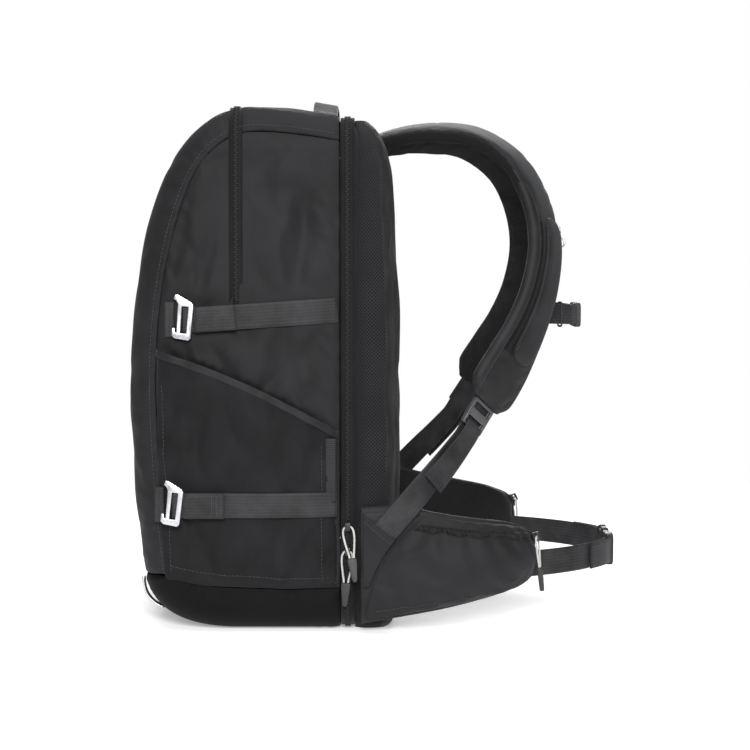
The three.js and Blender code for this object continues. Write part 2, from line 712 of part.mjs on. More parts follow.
function shoulderParts(side, hand) {
  const pad = cut(padBody(hand, 0), backPanelBody(gap));
  addPart(`shoulder_pad_${side}`, pad, 'nylon');
  addPart(`strap_overlay_${side}`, overlayBody(hand), 'nylon');

  const end = padAt(1, hand);
  const lock = new THREE.Group();
  const acrossLock = end.across.clone();
  const outLock = end.out.clone();
  const alongLock = outLock.clone().cross(acrossLock).normalize();
  if (alongLock.dot(end.tangent) < 0) {
    alongLock.negate();
    acrossLock.negate();
  }
  lock.applyMatrix4(new THREE.Matrix4().makeBasis(acrossLock, alongLock, outLock));
  lock.position.copy(end.at).addScaledVector(end.tangent, 2 * gap);
  backpack.add(lock);
  addPart(`ladder_lock_${side}`, ladderLockBody(), 'acetal', lock);

  const { width, thickness, tail, clear, straight } = loadWebbing;
  const lastBarAt = ladderLock.length - ladderLock.bar / 2;
  const lastBar = lock.position.clone().addScaledVector(alongLock, lastBarAt);
  const turn = ladderLock.thickness / 2 + clear + thickness / 2;
  const arrive = lastBar.clone().addScaledVector(outLock, -turn);
  const rows = loadRows.map(({ x, y, z }) => vector(x, hand * y, z));
  const approach = arrive.clone().addScaledVector(alongLock, straight);
  const route = new THREE.CatmullRomCurve3([...rows, approach, arrive], false, 'catmullrom');
  const lockRoll = padRows.at(-1).roll;
  const rolls = [...loadRows.map(({ roll }) => roll), lockRoll, lockRoll];
  const steps = 20;
  const stations = [];
  for (let i = 0; i <= steps; i += 1) {
    const tangent = route.getTangent(i / steps);
    const place = i / steps * (rolls.length - 1);
    const low = Math.min(Math.floor(place), rolls.length - 2);
    const roll = mix(rolls[low], rolls[low + 1], place - low);
    const across = strapAcross(tangent.clone().negate(), roll, hand);
    stations.push({ at: route.getPoint(i / steps), across });
  }
  const folded = foldedRoute(stations, outLock, turn, tail);
  addPart(`load_web_${side}`, band(folded, width, thickness), 'webbing');

  const chest = curveThrough(sternumRows, ({ x, y, z }) => vector(x, hand * y, z));
  const chestSteps = 10;
  const chestStations = [];
  for (let i = 0; i <= chestSteps; i += 1) {
    chestStations.push({ at: chest.getPoint(i / chestSteps), across: vector(0, 0, 1) });
  }
  const strap = band(chestStations, sternumWebbing.width, sternumWebbing.thickness);
  addPart(`sternum_web_${side}`, cut(strap, padBody(hand, gap)), 'webbing');
}

// Hip belt

const wingPath = curveThrough(wingRows, ({ x, y }) => vector(x, y, 0));
const wingHeights = curveThrough(wingRows, ({ top, foot }) => vector(top, foot, 0));

// Middle line of the wing, the way out of it and its upper and lower edges, by share of its rows
function wingAt(share, hand) {
  const point = wingPath.getPoint(share);
  const tangent = wingPath.getTangent(share);
  const heights = wingHeights.getPoint(share);
  return {
    at: vector(point.x, hand * point.y, 0), out: vector(-tangent.y, hand * tangent.x, 0),
    top: heights.x, foot: heights.y,
  };
}

function wingBody(hand, grow) {
  const steps = 16;
  const rings = [];
  for (let i = 0; i <= steps; i += 1) {
    const { at, out, top, foot } = wingAt(i / steps, hand);
    const half = wing.pad / 2 + grow;
    const spot = (off, z) => at.clone().addScaledVector(out, off).setZ(z);
    rings.push([
      spot(half - wing.edge, top + grow), spot(half, top + grow - wing.edge),
      spot(half, foot - grow + wing.edge), spot(half - wing.edge, foot - grow),
      spot(wing.edge - half, foot - grow), spot(-half, foot - grow + wing.edge),
      spot(-half, top + grow - wing.edge), spot(wing.edge - half, top + grow),
    ]);
  }
  return loft(rings);
}

// A place on the hip pocket: along and up it from 0 to 1, lifted off its inner face
function hipPocketPoint(along, up, lift, hand) {
  const { seat, depth, startTop, startFoot, end, foot, head } = hipPocket;
  const share = mix(mix(startFoot, startTop, up ** 2), end, along);
  const spot = wingAt(share, hand);
  const full = (Math.sin(Math.PI * along) ** hipFullness.along) * (Math.sin(Math.PI * up) ** hipFullness.up);
  const off = wing.pad / 2 + seat + depth * full + lift;
  return spot.at.addScaledVector(spot.out, off).setZ(mix(spot.foot, spot.top, mix(foot, head, up)));
}

function hipPocketGrid(hand, ups, lift) {
  const columns = 10;
  const alongs = Array.from({ length: columns + 1 }, (_, i) => i / columns);
  return ups.map((up) => alongs.map((along) => hipPocketPoint(along, up, lift, hand)));
}

function gussetWall(hand) {
  const columns = 5;
  const rows = 4;
  const grid = (lift) => Array.from({ length: rows + 1 }, (_, row) => {
    const up = mix(gusset.foot, gusset.head, row / rows);
    const end = mix(hipPocket.startFoot, hipPocket.startTop, up ** 2) - gusset.start;
    return Array.from({ length: columns + 1 }, (__, i) => {
      const spot = wingAt(mix(gusset.start, end, i / columns), hand);
      const off = wing.pad / 2 + 2 * gap + lift;
      return spot.at.addScaledVector(spot.out, off).setZ(mix(spot.foot, spot.top, up));
    });
  });
  return clothWall(grid(gusset.thickness), grid(0));
}

function hipParts(side, hand) {
  addPart(`hip_wing_${side}`, wingBody(hand, 0), 'spacer');
  const inner = hipPocketGrid(hand, hipPocketUp, 0);
  const outer = hipPocketGrid(hand, hipPocketUp, hipPocket.wall);
  addPart(`hip_pocket_${side}`, clothWall(outer, inner), 'nylon');
  const zipUps = hipPocketUp.slice(hipZip.fromRow, hipZip.toRow + 1);
  const zipFoot = hipPocketGrid(hand, zipUps, hipPocket.wall + gap);
  const zipFace = hipPocketGrid(hand, zipUps, hipPocket.wall + gap + hipZip.thickness);
  addPart(`hip_zip_${side}`, clothWall(zipFace, zipFoot), 'zip');
  addPart(`hip_gusset_${side}`, gussetWall(hand), 'nylon');

  const route = curveThrough(beltRows, ({ x, y }) => vector(x, hand * y, beltBuckle.z));
  const steps = 15;
  const stations = [];
  for (let i = 0; i <= steps; i += 1) {
    stations.push({ at: route.getPoint(i / steps), across: vector(0, 0, 1) });
  }
  const outward = vector(1, hand * beltWebbing.turnOut, 0);
  const folded = foldedRoute(stations, outward, beltWebbing.fold, beltWebbing.tail);
  const web = band(folded, beltWebbing.width, beltWebbing.thickness);
  addPart(`belt_web_${side}`, cut(web, wingBody(hand, gap)), 'webbing');
}

// Buckles are blocks across the bag with cut corners

function buckleBlock({ x, z, depth, height, round }, fromY, toY) {
  const deep = depth / 2;
  const high = height / 2;
  const section = [
    { x: round - deep, z: high }, { x: deep - round, z: high },
    { x: deep, z: high - round }, { x: deep, z: round - high },
    { x: deep - round, z: -high }, { x: round - deep, z: -high },
    { x: -deep, z: round - high }, { x: -deep, z: high - round },
  ];
  return prism(section, fromY, toY).translate(x, 0, z);
}

// Zip sliders with their pulls: the cord goes through the slider's eye and both ends meet in the grip

function sliderBody() {
  const { width, height, depth, eye, eyeHeight, floor, bevel } = slider;
  const frame = [
    new THREE.Vector2(0, -height / 2), new THREE.Vector2(depth, bevel - height / 2),
    new THREE.Vector2(depth, height / 2 - bevel), new THREE.Vector2(0, height / 2),
  ];
  const opening = [
    new THREE.Vector2(floor, -eyeHeight / 2), new THREE.Vector2(floor + eye, -eyeHeight / 2),
    new THREE.Vector2(floor + eye, eyeHeight / 2), new THREE.Vector2(floor, eyeHeight / 2),
  ];
  const shape = new THREE.Shape(frame);
  shape.holes.push(new THREE.Path(opening));
  const geometry = new THREE.ExtrudeGeometry(shape, { depth: width, bevelEnabled: false });
  geometry.translate(0, 0, -width / 2);
  const upright = new THREE.Matrix4().makeBasis(vector(0, -1, 0), vector(0, 0, 1), vector(-1, 0, 0));
  return geometry.applyMatrix4(upright);
}

function pullCordTube() {
  const half = pullRows.map(({ x, z }) => vector(x, 0, z));
  const other = pullRows.slice(1).map(({ x, z }) => vector(-x, 0, z));
  const path = new THREE.CatmullRomCurve3([...half.reverse(), ...other], false, 'centripetal');
  const section = new THREE.Shape();
  for (let i = 0; i < pullCord.sides; i += 1) {
    const angle = 2 * Math.PI * i / pullCord.sides;
    const spot = new THREE.Vector2(Math.cos(angle), Math.sin(angle)).multiplyScalar(pullCord.diameter / 2);
    section[i === 0 ? 'moveTo' : 'lineTo'](spot.x, spot.y);
  }
  return new THREE.ExtrudeGeometry(section, { steps: pullCord.steps, extrudePath: path });
}

function pullGripBody() {
  const { topWidth, footWidth, length, thickness, shoulder, round } = pullGrip;
  const top = pullRows.at(-1).z - gap;
  const foot = top - length;
  const half = [
    { x: topWidth / 2, z: top }, { x: topWidth / 2, z: top - shoulder },
    { x: footWidth / 2, z: foot + 2 * round }, { x: footWidth / 2 - round, z: foot },
  ];
  const other = half.map(({ x, z }) => ({ x: -x, z })).reverse();
  return prism([...half, ...other], -thickness / 2, thickness / 2);
}

// A slider seated on a face with the given outward normal; its pull hangs from the eye
function sliderParts(name, place, out, lean, lift) {
  const up = vector(0, 0, 1).addScaledVector(out, -out.z).normalize();
  const inward = out.clone().negate();
  const seat = new THREE.Group();
  seat.applyMatrix4(new THREE.Matrix4().makeBasis(inward.clone().cross(up), inward, up));
  seat.position.copy(place);
  backpack.add(seat);
  addPart(name.replace('#', 'slider'), sliderBody(), 'acetal', seat);

  const hang = new THREE.Group();
  hang.position.copy(place).addScaledVector(out, slider.floor + slider.eye / 2);
  hang.rotation.set(-radians(lift), -radians(lean), Math.atan2(out.x, -out.y), 'ZXY');
  backpack.add(hang);
  addPart(name.replace('#', 'pull_cord'), pullCordTube(), 'cord', hang);
  addPart(name.replace('#', 'pull_grip'), pullGripBody(), 'acetal', hang);
}

// The hip slider sits square on the sloping face of its zip
function hipSlider(side, hand) {
  const { along, up, lift, hang } = hipSliderSeat;
  const off = hipPocket.wall + gap + hipZip.thickness + lift;
  const step = 0.02;
  const place = hipPocketPoint(along, up, off, hand);
  const ahead = hipPocketPoint(along + step, up, off, hand).sub(place);
  const above = hipPocketPoint(along, up + step, off, hand).sub(place);
  const out = ahead.cross(above).normalize().multiplyScalar(-hand);
  sliderParts(`hip_#_${side}`, place, out, 0, hang);
}

for (const { side, hand } of sides) {
  addPart(`side_pocket_${side}`, pocketWall(hand), 'stretch');
  for (const row of sideStrapRows) {
    sideStrapParts(row, side, hand);
  }
  addPart(`lash_hook_${side}`, lashHookStrip(hand), 'aluminium');
  shoulderParts(side, hand);
  hipParts(side, hand);
  hipSlider(side, hand);
}
addPart('sternum_buckle', buckleBlock(sternumBuckle, -sternumBuckle.half, sternumBuckle.half), 'acetal');
addPart('belt_buckle_plug', buckleBlock(beltBuckle, -beltBuckle.reach, beltBuckle.split - gap), 'acetal');
addPart('belt_buckle_socket', buckleBlock(beltBuckle, beltBuckle.split, beltBuckle.reach), 'acetal');

const zipFaceY = -mainZip.halfWidth - gap;
for (const { name, x, z, lean, lift } of mainSliderRows) {
  sliderParts(`main_#_${name}`, vector(x, zipFaceY, z), vector(0, -1, 0), lean, lift);
}

export default backpack;
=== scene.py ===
import math
import bmesh
import bpy
import numpy as np
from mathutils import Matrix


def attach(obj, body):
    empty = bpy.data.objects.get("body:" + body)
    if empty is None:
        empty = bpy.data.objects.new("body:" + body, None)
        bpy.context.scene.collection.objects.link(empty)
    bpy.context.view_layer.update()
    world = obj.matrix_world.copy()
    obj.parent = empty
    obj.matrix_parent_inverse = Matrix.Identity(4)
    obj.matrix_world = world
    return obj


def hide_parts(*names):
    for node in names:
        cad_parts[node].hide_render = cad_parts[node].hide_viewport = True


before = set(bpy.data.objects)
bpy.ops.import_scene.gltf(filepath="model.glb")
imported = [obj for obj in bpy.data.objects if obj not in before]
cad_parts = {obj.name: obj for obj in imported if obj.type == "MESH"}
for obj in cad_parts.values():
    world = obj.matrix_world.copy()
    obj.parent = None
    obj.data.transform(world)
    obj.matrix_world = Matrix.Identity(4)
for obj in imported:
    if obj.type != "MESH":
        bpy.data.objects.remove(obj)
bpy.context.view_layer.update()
scene = bpy.context.scene
mm = 0.001  # tables are in millimetres, meshes in metres
hands = (("right", -1), ("left", 1))  # each side and the sign of its Y
wayX, wayY, wayZ = np.eye(3)
print("frame loaded with", len(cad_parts), "nodes")

view = {"lens": 80.0, "distance": 1750, "elevation": 4.0, "target": (108.5, 0.0, 240.2)}


# Camera at the photograph's angle: square to the bag's side, and a little above its middle
def placeCamera():
    tilt = math.radians(view["elevation"])
    x, y, z = view["target"]
    camera = bpy.data.objects.new("camera", bpy.data.cameras.new("camera"))
    camera.data.lens = view["lens"]
    back, up = view["distance"] * math.cos(tilt), view["distance"] * math.sin(tilt)
    camera.location = (x * mm, (y - back) * mm, (z + up) * mm)
    camera.rotation_euler = (math.pi / 2 - tilt, 0, 0)
    scene.collection.objects.link(camera)
    scene.camera = camera


placeCamera()


# Array tools: vectors of length 1, parts of vectors along directions, points from three columns, and the
# same points on the side that hand names
def unit(vectors):
    return vectors / np.maximum(np.linalg.norm(vectors, axis=-1, keepdims=True), 1e-9)


def along(vectors, directions):
    return (vectors * directions).sum(-1, keepdims=True)


def vec(x, y, z):
    return np.stack(np.broadcast_arrays(np.asarray(x, float), y, z), -1)


def mirrored(points, hand):
    return points * np.array([1.0, hand, 1.0])


# Smooth curve through a table's rows: between two rows it is the cubic whose slope at each row is half
# the step between that row's neighbours. share runs from 0 at the first row to 1 at the last.
def smoothRows(table, share):
    rows = np.asarray(table, float)
    padded = np.vstack([2 * rows[0] - rows[1], rows, 2 * rows[-1] - rows[-2]])
    place = np.asarray(share, float) * (len(rows) - 1)
    low = np.clip(np.floor(place).astype(int), 0, len(rows) - 2)
    t = (place - low)[..., None]
    a, b, c, d = (padded[low + k] for k in range(4))
    return b + 0.5 * t * (c - a + t * (2 * a - 5 * b + 4 * c - d + t * (3 * (b - c) + d - a)))


# That curve's slope, as the difference over two small steps
def slopeRows(table, share, step=1e-3):
    return smoothRows(table, share + step) - smoothRows(table, share - step)


# Distance from a path's first point to each of its points
def runOf(path):
    return np.append(0, np.cumsum(np.linalg.norm(np.diff(path, axis=0), axis=1)))


# Points at even distances along a line of points
def evenly(path, count):
    place = runOf(path)
    wanted = np.linspace(0, place[-1], count)
    return np.stack([np.interp(wanted, place, path[:, k]) for k in range(path.shape[1])], 1)


# Length of a path: the sum of its steps
def pathLength(path):
    return np.linalg.norm(np.diff(path, axis=0), axis=1).sum()


# 0 at an edge, rising straight to 1 at the given distance from it
def inFrom(edge, distance):
    return np.clip(edge / distance, 0, 1)


# Sum of sine waves with seeded directions and phases, about as long as asked along each parameter
def softWaves(a, b, lengthA, lengthB, seed, count=16):
    draw = np.random.default_rng(seed)
    angle = draw.uniform(0, 2 * np.pi, count)
    pace = 2 * np.pi * draw.uniform(0.55, 1.5, count)
    phase = draw.uniform(0, 2 * np.pi, count)
    wave = np.asarray(a)[..., None] / lengthA * np.cos(angle)
    wave = wave + np.asarray(b)[..., None] / lengthB * np.sin(angle)
    return np.sin(wave * pace + phase).sum(-1) / math.sqrt(count / 2)


# Valleys where cloth creases: deepest along the lines where the soft waves pass through zero
def creases(a, b, lengthA, lengthB, seed, width=0.5):
    return np.exp(-(softWaves(a, b, lengthA, lengthB, seed) / width) ** 2)


# Quads, and a cap over each end if any, as a mesh with smooth quads and flat caps
def meshFrom(name, points, quads, uv, caps=()):
    mesh = bpy.data.meshes.new(name)
    corners = np.concatenate([quads.ravel(), *caps]).astype(np.int32)
    sizes = np.concatenate([np.full(len(quads), 4), [len(cap) for cap in caps]]).astype(np.int32)
    mesh.vertices.add(len(points))
    mesh.vertices.foreach_set("co", (points * mm).astype(np.float32).ravel())
    mesh.loops.add(len(corners))
    mesh.loops.foreach_set("vertex_index", corners)
    mesh.polygons.add(len(sizes))
    mesh.polygons.foreach_set("loop_start", np.append(0, np.cumsum(sizes)[:-1]).astype(np.int32))
    smooth = np.ones(len(sizes), bool)
    smooth[len(quads):] = False
    mesh.polygons.foreach_set("use_smooth", smooth)
    spare = np.zeros((len(corners) - quads.size, 2))
    layer = mesh.uv_layers.new(name="cloth")
    layer.data.foreach_set("uv", np.concatenate([uv.reshape(-1, 2), spare]).astype(np.float32).ravel())
    mesh.update(calc_edges=True)
    mesh.validate()
    return mesh


# A grid of points as a mesh with one quad in each cell. wrap joins the last column to the first and loop the
# last row to the first. The UV map holds real lengths in metres, across the columns and along the rows. The
# faces are turned towards facing, or away from the grid's middle.
def gridMesh(name, points, wrap=False, loop=False, caps=False, facing=None):
    grid = np.asarray(points, float)
    rows, columns = grid.shape[:2]
    cells = np.meshgrid(
        np.arange(rows if loop else rows - 1), np.arange(columns if wrap else columns - 1), indexing="ij")
    r, c = (index.ravel() for index in cells)
    below, beside = (r + 1) % rows, (c + 1) % columns
    here, there = r * columns, below * columns
    quads = np.stack([here + c, here + beside, there + beside, there + c], 1)
    wide = np.concatenate([grid, grid[:, :1]], 1) if wrap else grid
    tall = np.concatenate([grid, grid[:1]], 0) if loop else grid
    u = np.append(0, np.cumsum(np.linalg.norm(np.diff(wide, axis=1), axis=2).mean(0))) * mm
    v = np.append(0, np.cumsum(np.linalg.norm(np.diff(tall, axis=0), axis=2).mean(1))) * mm
    uv = np.stack([np.stack([u[i], v[j]], 1) for i, j in ((c, r), (c + 1, r), (c + 1, r + 1), (c, r + 1))], 1)
    flat = grid.reshape(-1, 3)
    p, q, s, t = (flat[quads[:, k]] for k in range(4))
    normals = np.cross(s - p, t - q)
    if facing is None:
        outside = ((p + q + s + t) / 4 - flat.mean(0)) * normals
    else:
        outside = np.broadcast_to(facing, grid.shape).reshape(-1, 3)[quads[:, 0]] * normals
    ends = [np.arange(columns)[::-1], (rows - 1) * columns + np.arange(columns)] if caps else []
    if outside.sum() < 0:
        quads, uv, ends = quads[:, ::-1], uv[:, ::-1], [end[::-1] for end in ends]
    return meshFrom(name, flat, quads, uv, ends)


# Copies of one small shape: each copy is its place plus the shape's x, y and z times its own three axes
def scatterMesh(name, shape, faces, places, axes):
    points = (places[:, None, :] + np.einsum("kj,njd->nkd", shape, axes)).reshape(-1, 3)
    quads = (faces[None] + (np.arange(len(places)) * len(shape))[:, None, None]).reshape(-1, 4)
    return meshFrom(name, points, quads, np.zeros((len(quads), 4, 2)))


# A piece that rides on the bag's one body, with its material, its slot and the nodes that it stands for
def addPiece(name, mesh, material, nodes=()):
    piece = bpy.data.objects.new(name, mesh)
    scene.collection.objects.link(piece)
    mesh.materials.append(material)
    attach(piece, "root")
    if nodes:
        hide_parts(*nodes)
    return piece


# A sheet of cloth from a grid of its outer face; its wall grows inwards
def addSheet(name, points, facing, material, wall, nodes=(), loop=False, finer=True):
    piece = addPiece(name, gridMesh(name, points, loop=loop, facing=facing), material, nodes)
    solid = piece.modifiers.new("wall", "SOLIDIFY")
    solid.thickness = wall * mm
    solid.offset = -1.0
    if finer:
        smoother = piece.modifiers.new("finer", "SUBSURF")
        smoother.levels = smoother.render_levels = 1
    return piece


# A closed section carried along a line, with both ends capped or, on a loop, joined
def addTube(name, points, material, nodes=(), loop=False):
    return addPiece(name, gridMesh(name, points, wrap=True, loop=loop, caps=not loop), material, nodes)


# A profile carried along a path: each row is the path's point plus the profile's two columns along the
# ways across and out
def carried(path, across, out, profile):
    across, out = (np.broadcast_to(way, path.shape)[:, None, :] for way in (across, out))
    profile = np.asarray(profile, float)
    return path[:, None, :] + profile[None, :, :1] * across + profile[None, :, 1:] * out


# Ways along, across and out of a path; across is made square to the path
def frameAlong(path, across):
    tangent = unit(np.gradient(path, axis=0))
    across = np.broadcast_to(across, path.shape)
    across = unit(across - tangent * along(across, tangent))
    return tangent, across, np.cross(tangent, across)


# Section of a flat band: a rectangle whose edges are half rounds
def bandSection(width, thickness, roundSteps=4):
    angle = np.linspace(-np.pi / 2, np.pi / 2, roundSteps + 1)
    flat, radius = width / 2 - thickness / 2, thickness / 2
    rounded = np.stack([flat + radius * np.cos(angle), radius * np.sin(angle)], 1)
    top = np.linspace(0.8, -0.8, 5)[:, None] * [flat, 0] + [0, radius]
    return np.concatenate([rounded, top, -rounded, -top])


# Rounded section of power n: wide and high with square-set corners as n grows
def puffSection(width, height, n=3.0, steps=28):
    angle = np.linspace(0, 2 * np.pi, steps, endpoint=False)
    x, y = (np.sign(part) * np.abs(part) ** (2.0 / n) for part in (np.cos(angle), np.sin(angle)))
    return np.stack([x * width / 2, y * height / 2], 1)


# Points of a band: its section carried along a path, square to it
def bandPoints(path, across, width, thickness):
    _, across, out = frameAlong(path, across)
    return carried(path, across, out, bandSection(width, thickness))


# Webbing, binding or a flat bar: the band section carried along a path
def addBand(name, path, across, width, thickness, material, nodes=()):
    return addTube(name, bandPoints(path, across, width, thickness), material, nodes)


foldSteps = 10


# A path that turns back on itself round a bar at its end, towards the given side, and runs back by a tail
def foldedPath(path, towards, radius, tail):
    heading = unit(path[-1] - path[-2])
    up = unit(towards - heading * np.dot(towards, heading))
    angle = np.linspace(0, np.pi, foldSteps + 1)[1:-1, None]
    turn = path[-1] + up * radius * (1 - np.cos(angle)) + heading * radius * np.sin(angle)
    back = path[::-1] + up * 2 * radius
    return np.concatenate([path, turn, back[runOf(back) <= tail]])


settling = {"quality": 6, "mass": 0.15}


# Cloth under light pressure: the pinned points stay sewn, the rest swells and buckles, and no point moves
# further than the cap
def settleCloth(name, points, pinned, look, wrap=False, caps=False, facing=None):
    piece = bpy.data.objects.new(name, gridMesh(name, points, wrap, caps=caps, facing=facing))
    scene.collection.objects.link(piece)
    sewn = piece.vertex_groups.new(name="sewn")
    sewn.add(np.flatnonzero(pinned).tolist(), 1.0, "REPLACE")
    cloth = piece.modifiers.new("settle", "CLOTH").settings
    cloth.quality = settling["quality"]
    cloth.mass = settling["mass"]
    cloth.use_pressure = True
    cloth.uniform_pressure_force = look["pressure"]
    cloth.shrink_min = -look["slack"]
    cloth.bending_stiffness = look["stiff"]
    cloth.vertex_group_mass = "sewn"
    cloth.effector_weights.gravity = 0
    for step in range(1, look["frames"] + 1):
        scene.frame_set(step)
    shaped = piece.evaluated_get(bpy.context.evaluated_depsgraph_get()).data
    places = np.empty(len(shaped.vertices) * 3, np.float32)
    shaped.vertices.foreach_get("co", places)
    moved = places.reshape(points.shape) / mm - points
    far = np.linalg.norm(moved, axis=-1, keepdims=True)
    bpy.data.objects.remove(piece)
    scene.frame_set(1)
    return points + moved * np.minimum(1, look["cap"] / np.maximum(far, 1e-9))


bevel = {"segments": 3, "flatBelow": 1, "sharpAbove": 25}


# A node of the model with its edges rounded: its copy is merged and its flat faces are joined, then the edges
# that are sharper than an angle are bevelled
def roundedCopy(node, name, material, width):
    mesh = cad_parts[node].data.copy()
    mesh.name = name
    mesh.materials.clear()
    shape = bmesh.new()
    shape.from_mesh(mesh)
    bmesh.ops.remove_doubles(shape, verts=shape.verts, dist=1e-6)
    flat = math.radians(bevel["flatBelow"])
    bmesh.ops.dissolve_limit(shape, angle_limit=flat, verts=shape.verts, edges=shape.edges)
    shape.to_mesh(mesh)
    shape.free()
    piece = addPiece(name, mesh, material, [node])
    edge = piece.modifiers.new("edge", "BEVEL")
    edge.width = width * mm
    edge.segments = bevel["segments"]
    edge.limit_method = "ANGLE"
    edge.angle_limit = math.radians(bevel["sharpAbove"])
    edge.harden_normals = False
    mesh.polygons.foreach_set("use_smooth", np.ones(len(mesh.polygons), bool))
    return piece


stitch = {"length": 2.8, "pitch": 4.0, "tackPitch": 3.0, "width": 0.75, "height": 0.6, "lift": 0.15}
stitchPlaces, stitchAxes = [], []


# Stitches are small four-sided rods, one after another along a seam; they are kept until the end and joined
def stitchRow(path, out, pitch=stitch["pitch"]):
    path = np.asarray(path, float)
    count = max(int(pathLength(path) / pitch), 2)
    place = evenly(np.concatenate([path, np.broadcast_to(out, path.shape)], 1), 2 * count + 1)[1::2]
    spot, up = place[:, :3], unit(place[:, 3:])
    heading = unit(np.gradient(spot, axis=0))
    sideways = unit(np.cross(up, heading))
    stitchPlaces.append(spot + up * stitch["lift"])
    stitchAxes.append(np.stack([
        heading * stitch["length"] / 2, sideways * stitch["width"] / 2, up * stitch["height"] / 2], 1))


print("tools ready")


# An sRGB hex colour as linear channels: a straight foot, then a power curve
def hexColor(text):
    channels = np.array([int(text[i:i + 2], 16) for i in (1, 3, 5)]) / 255
    linear = np.where(channels <= 0.04045, channels / 12.92, ((channels + 0.055) / 1.055) ** 2.4)
    return (*linear.tolist(), 1.0)


# One node with its settings; an input is a value, or a socket to link
def addNode(tree, kind, inputs=None, **settings):
    node = tree.nodes.new(kind)
    for name, value in settings.items():
        setattr(node, name, value)
    for socket, value in (inputs or {}).items():
        if isinstance(value, bpy.types.NodeSocket):
            tree.links.new(value, node.inputs[socket])
        else:
            node.inputs[socket].default_value = value
    return node


# A material with no nodes yet, and its node tree
def newMaterial(name):
    material = bpy.data.materials.new(name)
    material.use_nodes = True
    material.node_tree.nodes.clear()
    return material, material.node_tree


# Gives a material its Principled shader with these inputs, and its output
def finishMaterial(material, inputs):
    shader = addNode(material.node_tree, "ShaderNodeBsdfPrincipled", inputs)
    addNode(material.node_tree, "ShaderNodeOutputMaterial", {"Surface": shader.outputs["BSDF"]})
    return material


# A wave texture's bands are a tenth of pi apart at scale 1, and a noise texture's blobs are about 1 apart
def waveScale(period):
    return 0.1 * math.pi / (period * mm)


def noiseScale(size):
    return 1 / (size * mm)


# Woven nylon, polyester or stretch cloth. Crossing threads give a fine grain, uneven coating gives soft
# clouds of tone, and loose fibre ends give sheen at the edges. Threads are drawn coarser than life so that
# they show.
def wovenCloth(name, look):
    material, tree = newMaterial(name)
    uv = addNode(tree, "ShaderNodeUVMap", uv_map="cloth").outputs["UV"]
    spot = addNode(tree, "ShaderNodeTexCoord").outputs["Object"]
    turned = addNode(tree, "ShaderNodeMapping", {
        "Vector": uv, "Rotation": (0, 0, math.radians(look["turn"]))}).outputs["Vector"]
    warp, weft = (addNode(tree, "ShaderNodeTexWave", {
        "Vector": turned, "Scale": waveScale(look[thread])}, bands_direction=way).outputs["Fac"]
        for thread, way in (("warp", "X"), ("weft", "Y")))
    weave = addNode(tree, "ShaderNodeMath", {0: warp, 1: weft}, operation="MULTIPLY").outputs["Value"]
    cloud = addNode(tree, "ShaderNodeTexNoise", {
        "Vector": spot, "Scale": noiseScale(look["cloud"]), "Detail": 4.0, "Roughness": 0.6}).outputs["Fac"]
    tone = addNode(tree, "ShaderNodeMath", {0: weave, 1: look["grain"], 2: cloud}, operation="MULTIPLY_ADD")
    shade = addNode(tree, "ShaderNodeMapRange", {
        "Value": tone.outputs["Value"], "From Min": 0.3, "From Max": 0.7 + look["grain"]})
    color = addNode(tree, "ShaderNodeMixRGB", {
        "Fac": shade.outputs["Result"], "Color1": hexColor(look["dark"]), "Color2": hexColor(look["light"])})
    fuzz = addNode(tree, "ShaderNodeTexNoise", {
        "Vector": spot, "Scale": noiseScale(look["fuzz"]), "Detail": 2.0}).outputs["Fac"]
    height = addNode(tree, "ShaderNodeMath", {0: fuzz, 1: 0.5, 2: weave}, operation="MULTIPLY_ADD")
    bump = addNode(tree, "ShaderNodeBump", {
        "Height": height.outputs["Value"], "Strength": look["bump"], "Distance": look["relief"] * mm})
    rough = addNode(tree, "ShaderNodeMapRange", {
        "Value": cloud, "To Min": look["rough"] - 0.08, "To Max": look["rough"] + 0.08})
    return finishMaterial(material, {
        "Base Color": color.outputs["Color"], "Roughness": rough.outputs["Result"],
        "Normal": bump.outputs["Normal"], "Specular IOR Level": look["gloss"], "Sheen Weight": look["sheen"],
        "Sheen Roughness": 0.45, "Sheen Tint": hexColor("#cfd2d6")})


# Knitted spacer mesh: two sets of slanted cords cross and leave rows of small dark holes between them
def spacerMesh(name, look):
    material, tree = newMaterial(name)
    uv = addNode(tree, "ShaderNodeUVMap", uv_map="cloth").outputs["UV"]
    spot = addNode(tree, "ShaderNodeTexCoord").outputs["Object"]
    cords = []
    for lean in (look["lean"], -look["lean"]):
        turned = addNode(tree, "ShaderNodeMapping", {"Vector": uv, "Rotation": (0, 0, math.radians(lean))})
        cords.append(addNode(tree, "ShaderNodeTexWave", {
            "Vector": turned.outputs["Vector"], "Scale": waveScale(look["period"])}, bands_direction="X"))
    knit = addNode(tree, "ShaderNodeMath", {
        0: cords[0].outputs["Fac"], 1: cords[1].outputs["Fac"]}, operation="MAXIMUM")
    closed = addNode(tree, "ShaderNodeMapRange", {
        "Value": knit.outputs["Value"], "From Min": look["hole"], "From Max": 0.95},
        interpolation_type="SMOOTHSTEP").outputs["Result"]
    cloud = addNode(tree, "ShaderNodeTexNoise", {"Vector": spot, "Scale": noiseScale(38), "Detail": 3.0})
    thread = addNode(tree, "ShaderNodeMixRGB", {
        "Fac": cloud.outputs["Fac"], "Color1": hexColor(look["thread"]), "Color2": hexColor(look["light"])})
    color = addNode(tree, "ShaderNodeMixRGB", {
        "Fac": closed, "Color1": hexColor(look["dark"]), "Color2": thread.outputs["Color"]})
    bump = addNode(tree, "ShaderNodeBump", {
        "Height": closed, "Strength": look["bump"], "Distance": look["relief"] * mm})
    return finishMaterial(material, {
        "Base Color": color.outputs["Color"], "Roughness": 0.85, "Normal": bump.outputs["Normal"],
        "Specular IOR Level": 0.12, "Sheen Weight": 0.05})


